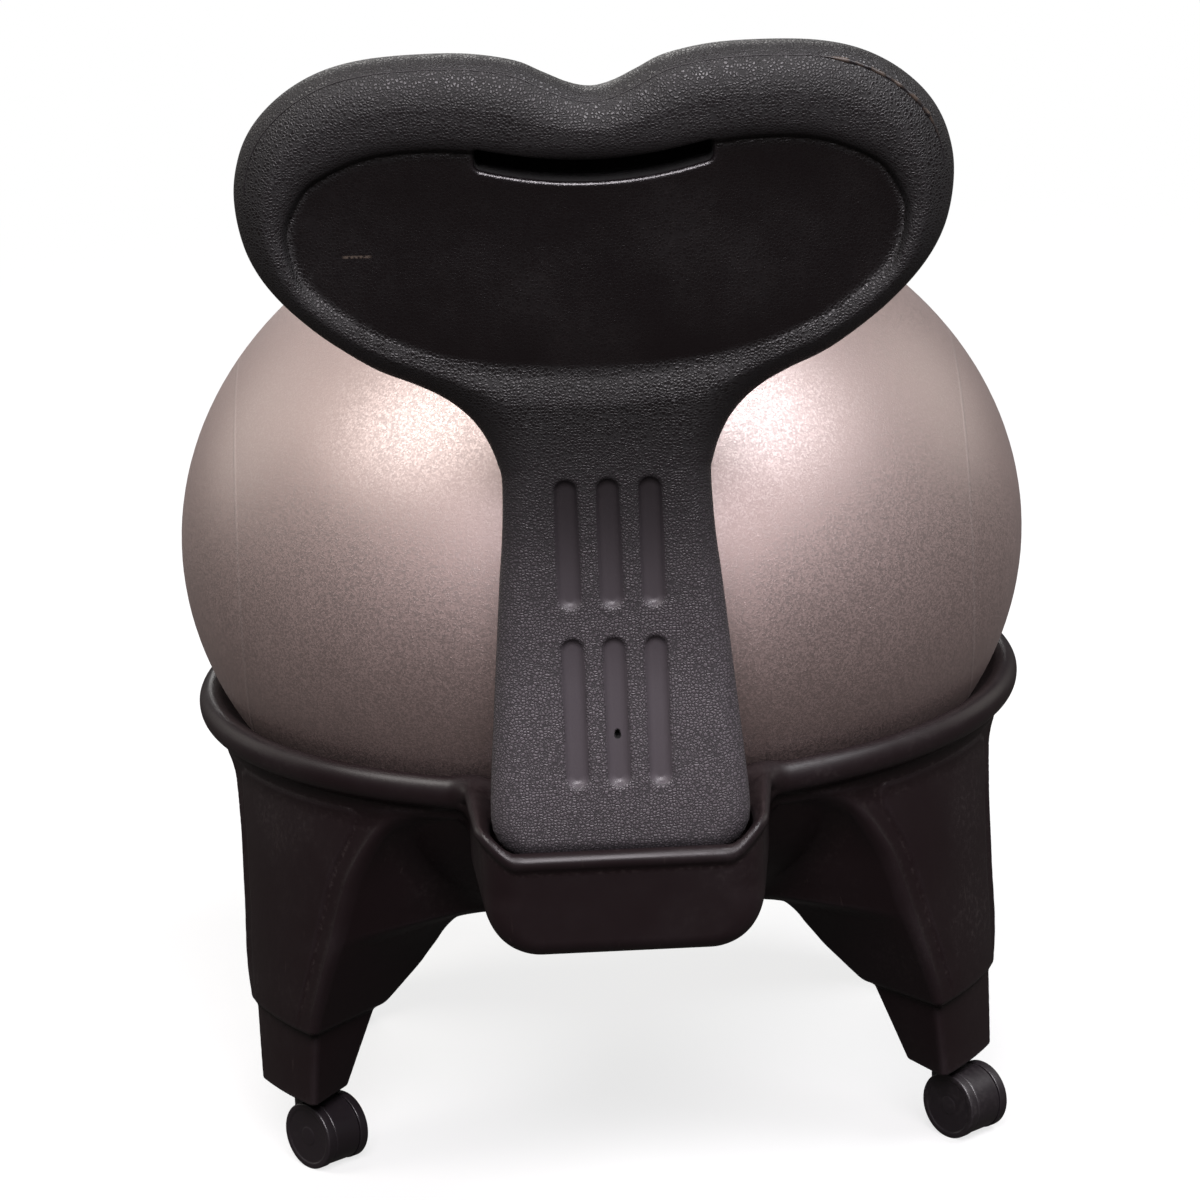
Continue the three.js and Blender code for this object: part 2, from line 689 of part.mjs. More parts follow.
// Six round-ended grooves in two rows
function slotOutline(width, length, x, top) {
  const points = [];
  for (const [end, start] of [[top - width / 2, 0], [top - length + width / 2, 180]]) {
    for (let i = 0; i <= 6; i += 1) {
      const turn = THREE.MathUtils.degToRad(start + 30 * i);
      points.push(new THREE.Vector2(x + (width / 2) * Math.cos(turn), end + (width / 2) * Math.sin(turn)));
    }
  }
  return points;
}
for (const [top, length] of [[upperGrooveTop, upperGrooveLength], [lowerGrooveTop, lowerGrooveLength]]) {
  for (const column of [-1, 0, 1]) {
    const mouth = slotOutline(grooveWidth, length, column * groovePitch, top);
    const floor = slotOutline(grooveWidth - grooveDepth, length - grooveDepth,
      column * groovePitch, top - grooveDepth / 2);
    const face = backThickness / 2;
    backSolid = backSolid.subtract(loft([
      ringAtDepth(floor, face - grooveDepth),
      ringAtDepth(mouth, face - grooveDepth / 3),
      ringAtDepth(mouth, face + overrun),
    ]));
  }
}
const ventTurned = bar(ventRadius, backThickness / 2 - grooveDepth - ventDepth,
  backThickness / 2 + overrun, 8);
const ventGeometry = toGeometry(ventTurned);
ventGeometry.rotateX(-Math.PI / 2);
backSolid = backSolid.subtract(toSolid(ventGeometry)
  .translate([0, 0, lowerGrooveTop - lowerGrooveLength + ventRise]));

// Tenon with its rounded lower corners, and the bolt holes in it
const tenonOutline = [];
for (const side of [1, -1]) {
  const corner = [0, 0.33, 0.67, 1].map((share) => {
    const turn = (Math.PI / 2) * share;
    return new THREE.Vector2(
      side * (tenonHalfWidth - tenonCornerRadius + tenonCornerRadius * Math.cos(turn)),
      tenonEnd + tenonCornerRadius - tenonCornerRadius * Math.sin(turn));
  });
  const upright = new THREE.Vector2(side * tenonHalfWidth, postFootHeight + postFootRadius);
  if (side > 0) tenonOutline.push(upright, ...corner);
  else tenonOutline.push(...corner.reverse(), upright);
}
backSolid = backSolid.add(loft([
  ringAtDepth(tenonOutline, -tenonThickness / 2),
  ringAtDepth(tenonOutline, tenonThickness / 2),
]));
for (const side of [-1, 1]) {
  backSolid = backSolid.subtract(bar(boltRadius + fitGap, tenonEnd - overrun,
    tenonEnd + boltReach, pinSteps).translate([side * boltSpacing / 2, 0, 0]));
}

// Splits a body's triangles where they cross planes square to one axis
function splitAt(body, axis, places) {
  let { spots, faces } = body;
  for (const place of places) {
    const known = new Map();
    const next = [];
    const cutEdge = (i, j) => {
      const key = i < j ? `${i}_${j}` : `${j}_${i}`;
      if (!known.has(key)) {
        const [low, high] = i < j ? [i, j] : [j, i];
        const share = (place - spots[3 * low + axis]) / (spots[3 * high + axis] - spots[3 * low + axis]);
        for (let k = 0; k < 3; k += 1) spots.push(mix(spots[3 * low + k], spots[3 * high + k], share));
        known.set(key, spots.length / 3 - 1);
      }
      return known.get(key);
    };
    for (const face of faces) {
      const sides = face.map((corner) => {
        const away = spots[3 * corner + axis] - place;
        return Math.abs(away) < 1e-4 * backHalfWidth ? 0 : Math.sign(away);
      });
      const odd = sides.findIndex((side, k) => side !== 0
        && sides[(k + 1) % 3] !== side && sides[(k + 2) % 3] !== side);
      if (!(sides.includes(1) && sides.includes(-1))) {
        next.push(face);
        continue;
      }
      const [a, b, c] = [face[odd], face[(odd + 1) % 3], face[(odd + 2) % 3]];
      const [sb, sc] = [sides[(odd + 1) % 3], sides[(odd + 2) % 3]];
      if (sb === 0) {
        const cut = cutEdge(a, c);
        next.push([a, b, cut], [cut, b, c]);
      } else if (sc === 0) {
        const cut = cutEdge(a, b);
        next.push([a, cut, c], [cut, b, c]);
      } else {
        const [first, second] = [cutEdge(a, b), cutEdge(a, c)];
        next.push([a, first, second], [first, b, c], [first, c, second]);
      }
    }
    faces = next;
  }
  return { spots, faces };
}

// Leans the flat backrest and wraps its sides forward
const backMesh = backSolid.getMesh();
let backBody = { spots: Array.from(backMesh.vertProperties), faces: [] };
for (let i = 0; i < backMesh.triVerts.length; i += 3) {
  backBody.faces.push(Array.from(backMesh.triVerts.slice(i, i + 3)));
}
const leanSpan = backTopHeight - postFootHeight;
const leanLevels = leanShares.slice(1, -1).map(([up]) => postFootHeight + up * leanSpan);
const wrapPlaces = [-0.75, -0.42, 0.42, 0.75].map((share) => share * backHalfWidth);
backBody = splitAt(backBody, 2, leanLevels);
backBody = splitAt(backBody, 0, wrapPlaces);
for (let i = 0; i < backBody.spots.length; i += 3) {
  const [x, , z] = backBody.spots.slice(i, i + 3);
  const lean = backTopLean * readTable(leanShares, (z - postFootHeight) / leanSpan, 1);
  const wrap = backWrap * (x / backHalfWidth) ** 2;
  backBody.spots[i + 1] += postMiddle + lean - wrap * THREE.MathUtils.smoothstep(
    z, neckLineHeight, mix(neckLineHeight, backTopHeight, 0.4));
}
const backGeometry = new THREE.BufferGeometry();
backGeometry.setAttribute('position', new THREE.Float32BufferAttribute(backBody.spots, 3));
backGeometry.setIndex(backBody.faces.flat());
backGeometry.computeVertexNormals();
addPiece(chair, 'backrest', backGeometry, black);

// Bolts and washers that hold the tenon from below
for (const [side, name] of [[1, 'left'], [-1, 'right']]) {
  const spot = new THREE.Vector3(side * boltSpacing / 2, postMiddle, 0);
  const washerTop = boltRecessTop - fitGap;
  const washerLow = washerTop - washerThickness;
  const washer = revolve(closeProfile([
    [boltRadius + fitGap, washerLow], [washerRadius, washerLow],
    [washerRadius, washerTop], [boltRadius + fitGap, washerTop],
  ]), pinSteps);
  addPiece(chair, `back_washer_${name}`, toGeometry(washer), steel).position.copy(spot);
  const headTop = washerLow - fitGap;
  const bolt = revolve([
    [0, headTop - boltHeadHeight + boltSocketDepth],
    [boltSocketRadius, headTop - boltHeadHeight + boltSocketDepth],
    [boltSocketRadius, headTop - boltHeadHeight],
    [boltHeadRadius, headTop - boltHeadHeight],
    [boltHeadRadius, headTop],
    [boltRadius, headTop],
    [boltRadius, tenonEnd + boltReach - fitGap],
    [0, tenonEnd + boltReach - fitGap],
  ], pinSteps);
  addPiece(chair, `back_bolt_${name}`, toGeometry(bolt), steel).position.copy(spot);
}

// Ball: a thin shell with a thicker boss round its valve hole, which faces down. One of its
// stations lies on the seat.
const seatTurn = Math.asin(seatRadius / ballRadius);
const lowSteps = Math.round(ballSteps * seatTurn / Math.PI);
function shellProfile(radius, halfHeight, from) {
  const points = [];
  for (let i = 0; i <= ballSteps; i += 1) {
    const turn = i <= lowSteps ? mix(from, seatTurn, i / lowSteps)
      : mix(seatTurn, Math.PI, (i - lowSteps) / (ballSteps - lowSteps));
    points.push([radius * Math.sin(turn), ballCentreHeight - halfHeight * Math.cos(turn)]);
  }
  points[points.length - 1][0] = 0;
  return points;
}
const outerShell = shellProfile(ballRadius, ballHalfHeight, Math.asin(valveHoleRadius / ballRadius));
const innerShell = shellProfile(ballRadius - ballWall, ballHalfHeight - ballWall,
  Math.asin((valveBossRadius + ballWall) / ballRadius)).reverse();
const bossTop = ballCentreHeight - ballHalfHeight + valveBossThickness;
const ballSolid = revolve(closeProfile([
  ...outerShell, ...innerShell, [valveBossRadius, bossTop], [valveHoleRadius, bossTop],
]), ringSteps);
addPiece(chair, 'ball', toGeometry(ballSolid), silver);

const plugSeat = outerShell[0][1] - fitGap - (ballUnderside(valveHoleRadius) - ballUnderside(0));
const plugSolid = revolve([
  [0, plugSeat - plugHeadThickness],
  [plugHeadRadius - plugHeadThickness / 2, plugSeat - plugHeadThickness],
  [plugHeadRadius, plugSeat - plugHeadThickness / 2],
  [plugHeadRadius, plugSeat],
  [valveHoleRadius - fitGap, plugSeat],
  [valveHoleRadius - fitGap, bossTop],
  [plugTipRadius, plugSeat + plugTailLength],
  [0, plugSeat + plugTailLength],
], pinSteps);
addPiece(chair, 'ball_plug', toGeometry(plugSolid), paleGrey);

// Casters: each turns about its stem, which stands at the origin of its own group
function alongX(solid, x, y, z) {
  const geometry = toGeometry(solid);
  geometry.rotateY(Math.PI / 2);
  geometry.translate(x, y, z);
  return geometry;
}

const stemBottom = hoodBossTop - stemSocketDepth;
const sleeveProfile = closeProfile([
  [stemRadius + fitGap, footHeight - fitGap - sleeveFlangeThickness],
  [sleeveFlangeRadius, footHeight - fitGap - sleeveFlangeThickness],
  [sleeveFlangeRadius, footHeight - fitGap],
  [sleeveRadius, footHeight - fitGap],
  [sleeveRadius, sleeveTop],
  [stemRadius + fitGap, sleeveTop],
]);
const stemTop = sleeveTop - stemTopDrop;
const grooveTop = stemTop - 2 * stemGrooveLength;
const stemProfile = [
  [0, stemBottom], [stemRadius, stemBottom],
  [stemRadius, grooveTop - stemGrooveLength],
  [stemRadius - stemGrooveDepth, grooveTop - stemGrooveLength],
  [stemRadius - stemGrooveDepth, grooveTop],
  [stemRadius, grooveTop],
  [stemRadius, stemTop - stemTip], [stemRadius - stemTip, stemTop], [0, stemTop],
];

function hoodSolid() {
  const drum = toSolid(alongX(bar(hoodRadius, -hoodWidth / 2, hoodWidth / 2, drumSteps),
    0, casterTrail, wheelRadius));
  const boss = bar(hoodBossRadius, hoodBossBottom, hoodBossTop, drumSteps);
  const bore = toSolid(alongX(bar(axleRadius + fitGap, -hoodWidth, hoodWidth, pinSteps),
    0, casterTrail, wheelRadius));
  const stemHole = bar(stemRadius + fitGap, stemBottom - fitGap, hoodBossTop + overrun, pinSteps);
  return drum.add(boss).subtract(bore).subtract(stemHole);
}

// Wheel along Z, with its bore in the low face and a shallow dish in the high face
const wheelSolid = revolve([
  [0, axleSeat + fitGap], [axleRadius + fitGap, axleSeat + fitGap], [axleRadius + fitGap, 0],
  [wheelRadius - wheelEdge, 0], [wheelRadius, wheelEdge],
  [wheelRadius, wheelWidth - wheelEdge], [wheelRadius - wheelEdge, wheelWidth],
  [wheelDishRadius, wheelWidth], [wheelDishRadius - wheelEdge, wheelWidth - wheelDishDepth],
  [0, wheelWidth - wheelDishDepth],
], drumSteps);
const axleEnd = hoodWidth / 2 + fitGap + axleSeat;

const casterPlaces = [
  ['rear_left', 1, 1], ['rear_right', -1, 1], ['front_left', 1, -1], ['front_right', -1, -1],
];
for (const [name, side, end] of casterPlaces) {
  const socket = new THREE.Group();
  socket.position.set(side * stemPlace.x, end * stemPlace.y, 0);
  chair.add(socket);
  addPiece(socket, `sleeve_${name}`, toGeometry(revolve(sleeveProfile, pinSteps)), darkBlack);
  const caster = new THREE.Group();
  caster.rotation.z = THREE.MathUtils.degToRad(casterTurn);
  socket.add(caster);
  addPiece(caster, `stem_${name}`, toGeometry(revolve(stemProfile, pinSteps)), steel);
  addPiece(caster, `hood_${name}`, toGeometry(hoodSolid()), darkBlack);
  addPiece(caster, `axle_${name}`,
    alongX(bar(axleRadius, -axleEnd, axleEnd, pinSteps), 0, casterTrail, wheelRadius), steel);
  for (const [face, letter] of [[1, 'a'], [-1, 'b']]) {
    const wheel = toGeometry(wheelSolid);
    wheel.translate(0, 0, hoodWidth / 2 + fitGap);
    wheel.rotateY(face * Math.PI / 2);
    wheel.translate(0, casterTrail, wheelRadius);
    addPiece(caster, `wheel_${name}_${letter}`, wheel, darkBlack);
  }
}

// The origin goes under the middle of the whole chair, on the floor
chair.updateMatrixWorld(true);
const bounds = new THREE.Box3().setFromObject(chair, true);
const middle = bounds.getCenter(new THREE.Vector3());
chair.position.set(-middle.x, -middle.y, -bounds.min.z);

export default chair;
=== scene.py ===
import math
from itertools import product

import bmesh
import bpy
import numpy as np
from mathutils import Matrix, Vector


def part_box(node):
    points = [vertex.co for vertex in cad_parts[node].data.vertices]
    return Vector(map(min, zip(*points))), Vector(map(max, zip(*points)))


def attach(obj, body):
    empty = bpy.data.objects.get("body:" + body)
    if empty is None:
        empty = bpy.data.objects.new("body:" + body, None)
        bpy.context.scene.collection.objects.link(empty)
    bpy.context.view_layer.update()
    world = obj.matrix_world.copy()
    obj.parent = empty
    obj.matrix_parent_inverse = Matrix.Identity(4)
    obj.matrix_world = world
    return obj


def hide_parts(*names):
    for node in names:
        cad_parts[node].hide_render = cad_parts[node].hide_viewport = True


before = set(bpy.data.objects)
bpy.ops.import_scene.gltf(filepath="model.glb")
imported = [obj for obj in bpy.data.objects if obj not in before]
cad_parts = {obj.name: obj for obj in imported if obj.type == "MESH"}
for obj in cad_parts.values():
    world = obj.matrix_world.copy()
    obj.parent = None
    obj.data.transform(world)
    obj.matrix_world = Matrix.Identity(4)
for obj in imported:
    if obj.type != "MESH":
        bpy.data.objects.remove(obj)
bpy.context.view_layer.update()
ballLow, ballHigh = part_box("ball")
axisY = (ballLow.y + ballHigh.y) / 2  # upright axis of the seat ring
mm = 0.001
print("frame loaded", len(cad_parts), "nodes")

# Shapes below are worked out in millimetres round the ring's axis and moved into place at the end

# Camera of the photograph: behind the chair, a little above, nearly a long lens
view = {
    "spot": (43.6, 3411.6, 1264.5),
    "turn": -0.0128,
    "pitch": 0.26957,
    "roll": 0.0430,
    "lens": 160.59,
    "film": 36,
    "shiftX": -0.00422,
    "shiftY": 0.00654,
    "clip": (0.05, 100),
}


def addObject(name, data):
    made = bpy.data.objects.new(name, data)
    bpy.context.scene.collection.objects.link(made)
    return made


def placeCamera():
    data = bpy.data.cameras.new("photoCamera")
    camera = addObject("photoCamera", data)
    bpy.context.scene.camera = camera
    turn, pitch, roll = view["turn"], view["pitch"], view["roll"]
    across = Vector((-math.cos(turn), -math.sin(turn), 0))
    ahead = Vector((math.sin(turn) * math.cos(pitch), -math.cos(turn) * math.cos(pitch), -math.sin(pitch)))
    up = across.cross(ahead)
    right = across * math.cos(roll) - up * math.sin(roll)
    top = across * math.sin(roll) + up * math.cos(roll)
    spot = Vector(view["spot"]) * mm + Vector((0, axisY, 0))
    camera.matrix_world = Matrix.Translation(spot) @ Matrix((right, top, -ahead)).transposed().to_4x4()
    data.sensor_fit = "HORIZONTAL"
    data.sensor_width = view["film"]
    data.lens = view["lens"]
    data.shift_x, data.shift_y = view["shiftX"], view["shiftY"]
    data.clip_start, data.clip_end = view["clip"]


placeCamera()
print("camera placed")

# The node tree that is being filled
bench = {"tree": None}


# An output of a node that sums can be written with; each sum adds one Math node
class Wire:
    def __init__(self, socket):
        self.socket = socket

    def __add__(self, other):
        return calc("ADD", self, other)

    def __sub__(self, other):
        return calc("SUBTRACT", self, other)

    def __rsub__(self, other):
        return calc("SUBTRACT", other, self)

    def __mul__(self, other):
        return calc("MULTIPLY", self, other)


# Adds a node to the tree; a value that is a wire is linked, any other is set
def addNode(kind, values=None, **settings):
    made = bench["tree"].nodes.new(kind)
    for key, value in settings.items():
        setattr(made, key, value)
    for key, value in (values or {}).items():
        if isinstance(value, Wire):
            bench["tree"].links.new(value.socket, made.inputs[key])
        else:
            made.inputs[key].default_value = value
    return made


def wiresOf(made):
    return {socket.name: Wire(socket) for socket in made.outputs}


# Adds a node and gives the wire of one of its outputs
def put(kind, values=None, out=0, **settings):
    return Wire(addNode(kind, values, **settings).outputs[out])


def calc(operation, *values):
    return put("ShaderNodeMath", dict(enumerate(values)), operation=operation)


def between(share, low, high):
    return put("ShaderNodeMix", {0: share, 2: low, 3: high}, data_type="FLOAT")


# Lays one colour over another; the share says how strongly
def tint(under, share, over):
    whole = [colour if isinstance(colour, Wire) else (*colour, 1) for colour in (under, over)]
    return put("ShaderNodeMix", {0: share, 6: whole[0], 7: whole[1]}, 2, data_type="RGBA")


def ramp(value, low, high, toLow=0.0, toHigh=1.0):
    return put("ShaderNodeMapRange", {"Value": value, "From Min": low, "From Max": high,
               "To Min": toLow, "To Max": toHigh}, "Result", interpolation_type="SMOOTHSTEP")


def noise(spot, scale, detail, roughness=0.5, out="Fac"):
    return put("ShaderNodeTexNoise", {"Vector": spot, "Scale": scale, "Detail": detail,
               "Roughness": roughness}, out)


def openTree(owner):
    owner.use_nodes = True
    bench["tree"] = owner.node_tree
    bench["tree"].nodes.clear()


# Studio: a pale floor, a soft sky, four lamps, the largest above the camera, and two weak side lights
studio = {
    "floorSize": 60.0, "floorSeen": (0.92, 0.92, 0.92), "floorBounce": (0.03, 0.025, 0.023),
    "floorGlow": 0.74, "shadowReach": (0.9, 3.2),  # the floor turns plain white over this distance
    "sky": 0.05, "mirrored": 0.04, "aimHeight": 0.4,
    "lamps": {
        "keyLamp": {"spot": (-0.1, 3.8, 3.4), "size": 2.7, "watts": 265, "colour": (1.0, 0.94, 0.99)},
        "leftLamp": {"spot": (2.85, 0.8, 3.95), "size": 2.3, "watts": 116, "colour": (1.0, 0.96, 0.93)},
        "rightLamp": {"spot": (-2.45, 1.25, 3.95), "size": 2.2, "watts": 136, "colour": (0.98, 0.97, 1.0)},
        "leftWall": {"spot": (3.6, -2.4, 1.7), "size": 2.6, "watts": 16, "colour": (1.0, 0.95, 0.88)},
        "rightWall": {"spot": (-3.6, -2.4, 1.7), "size": 2.6, "watts": 14, "colour": (1.0, 0.95, 0.88)},
        "frontLamp": {"spot": (0.4, -3.6, 3.0), "size": 2.6, "watts": 85, "colour": (1.0, 0.98, 0.96)},
    },
}


# White where the camera or glass looks; gloss shows it dimmed, or black plastic would turn grey
def seenWhite():
    path = wiresOf(addNode("ShaderNodeLightPath"))
    straight = calc("MAXIMUM", path["Is Camera Ray"], path["Is Transmission Ray"])
    return straight, calc("MAXIMUM", straight, path["Is Glossy Ray"] * studio["mirrored"])


def layFloor():
    half = studio["floorSize"] / 2
    mesh = bpy.data.meshes.new("studioFloor")
    corners = [(-half, -half, 0), (half, -half, 0), (half, half, 0), (-half, half, 0)]
    mesh.from_pydata(corners, [], [(0, 1, 2, 3)])
    floor = addObject("studioFloor", mesh)
    look = bpy.data.materials.new("floorWhite")
    openTree(look)
    straight, seen = seenWhite()
    colour = tint(studio["floorBounce"], straight, studio["floorSeen"])
    matte = put("ShaderNodeBsdfDiffuse", {"Color": colour})
    glow = put("ShaderNodeEmission", {"Color": (1, 1, 1, 1), "Strength": 1.0})
    spot = put("ShaderNodeTexCoord", out="Object")
    away = put("ShaderNodeVectorMath", {0: spot}, "Value", operation="LENGTH")
    plain = ramp(away, *studio["shadowReach"], studio["floorGlow"], 1.0)
    both = put("ShaderNodeMixShader", {0: seen * plain, 1: matte, 2: glow})
    addNode("ShaderNodeOutputMaterial", {"Surface": both})
    mesh.materials.append(look)


def openSky():
    world = bpy.data.worlds.new("studioSky")
    bpy.context.scene.world = world
    openTree(world)
    strength = between(seenWhite()[1], studio["sky"], 1.0)
    background = put("ShaderNodeBackground", {"Color": (1, 1, 1, 1), "Strength": strength})
    addNode("ShaderNodeOutputWorld", {"Surface": background})


def hangLamps():
    for name, lamp in studio["lamps"].items():
        data = bpy.data.lights.new(name, "AREA")
        data.shape = "DISK"
        data.size = lamp["size"]
        data.energy = lamp["watts"]
        data.color = lamp["colour"]
        light = addObject(name, data)
        light.location = lamp["spot"]
        aim = Vector((0, axisY, studio["aimHeight"])) - Vector(lamp["spot"])
        light.rotation_euler = aim.to_track_quat("-Z", "Y").to_euler()


layFloor()
openSky()
hangLamps()
bpy.context.scene.view_settings.view_transform = "Standard"
print("studio lit")


# Starts a node group and gives the wires of its inputs. A number is an input's default, a word is its kind
def startGroup(name, kind, inputs, outputs):
    tree = bpy.data.node_groups.new(name, kind)
    for socket, value in inputs.items():
        word = {float: "Float", int: "Int"}.get(type(value), value)
        made = tree.interface.new_socket(socket, in_out="INPUT", socket_type="NodeSocket" + word)
        if word != value:
            made.default_value = value
    for socket, word in outputs.items():
        tree.interface.new_socket(socket, in_out="OUTPUT", socket_type="NodeSocket" + word)
    bench["tree"] = tree
    return wiresOf(tree.nodes.new("NodeGroupInput"))


# Effects that several materials share; frequencies are per metre
effects = {
    "pebbles": 480.0, "valley": 0.32, "uneven": 0.86, "driftScale": 160.0, "driftReach": 0.0022,
    "cloudScale": 9.0, "cloudRange": (0.42, 0.72), "speckScale": 260.0, "speckRange": (0.45, 0.75),
    "rubRange": (0.3, 0.6), "leastRub": 0.25, "patchScale": 16.0, "patchRange": (0.52, 0.62),
    "threadScale": 330.0, "threadStretch": 0.03, "threadRange": (0.735, 0.765),
    "threads": ((0.35, 3.0), (-0.5, 11.0)),  # turn and seed
    "skinScale": 1400.0, "waveScale": 38.0, "skinShare": 0.4, "mottleRange": (0.3, 0.7),
}


# Rounded pebbles of a leather grain
def buildPebbleGrain():
    given = startGroup("pebbleGrain", "ShaderNodeTree", {
        "Vector": "Vector", "Pebbles per metre": effects["pebbles"], "Valley": effects["valley"]},
        {"Height": "Float"})
    drift = noise(given["Vector"], effects["driftScale"], 2.0, out="Color")
    shift = put("ShaderNodeVectorMath", {0: drift, 1: (effects["driftReach"],) * 3}, operation="MULTIPLY")
    spot = put("ShaderNodeVectorMath", {0: given["Vector"], 1: shift}, operation="ADD")
    cells = put("ShaderNodeTexVoronoi", {"Vector": spot, "Scale": given["Pebbles per metre"],
                "Randomness": effects["uneven"]}, "Distance", feature="DISTANCE_TO_EDGE")
    addNode("NodeGroupOutput", {"Height": ramp(cells, 0.0, given["Valley"])})
    return bench["tree"]


# Dust that gathers in hollows, rubbed edges, and fine scratches
def buildHandling():
    given = startGroup("handling", "ShaderNodeTree", {
        "Vector": "Vector", "Edge": 0.0, "Hollow": 0.0, "Scratches": 0.5},
        {"Dust": "Float", "Rub": "Float", "Scratch": "Float", "Mottle": "Float"})
    spot = given["Vector"]
    broad, fine = noise(spot, effects["cloudScale"], 5.0, 0.62), noise(spot, effects["speckScale"], 3.0, 0.7)
    settled = calc("MAXIMUM", ramp(broad, *effects["cloudRange"]), given["Hollow"])
    dust = settled * ramp(fine, *effects["speckRange"])
    rub = given["Edge"] * ramp(broad, *effects["rubRange"], effects["leastRub"], 1.0)
    lines = []
    for turn, seed in effects["threads"]:
        laid = put("ShaderNodeMapping", {"Vector": spot, "Location": (seed, seed, 0.0),
                   "Rotation": (turn, 0.6 * turn, turn), "Scale": (1.0, 1.0, effects["threadStretch"])})
        lines.append(ramp(noise(laid, effects["threadScale"], 1.0), *effects["threadRange"]))
    area = ramp(noise(spot, effects["patchScale"], 2.0), *effects["patchRange"])
    scratch = calc("MAXIMUM", *lines) * area * given["Scratches"]
    addNode("NodeGroupOutput", {"Dust": dust, "Rub": rub, "Scratch": scratch, "Mottle": broad})
    return bench["tree"]


# Very fine unevenness that every moulded face has
def buildFineSkin():
    given = startGroup("fineSkin", "ShaderNodeTree", {"Vector": "Vector", "Scale": effects["skinScale"]},
                       {"Height": "Float"})
    small = noise(given["Vector"], given["Scale"], 2.0, 0.6)
    wide = noise(given["Vector"], effects["waveScale"], 2.0)
    addNode("NodeGroupOutput", {"Height": small * effects["skinShare"] + wide})
    return bench["tree"]


pebbleGrain, handling, fineSkin = buildPebbleGrain(), buildHandling(), buildFineSkin()

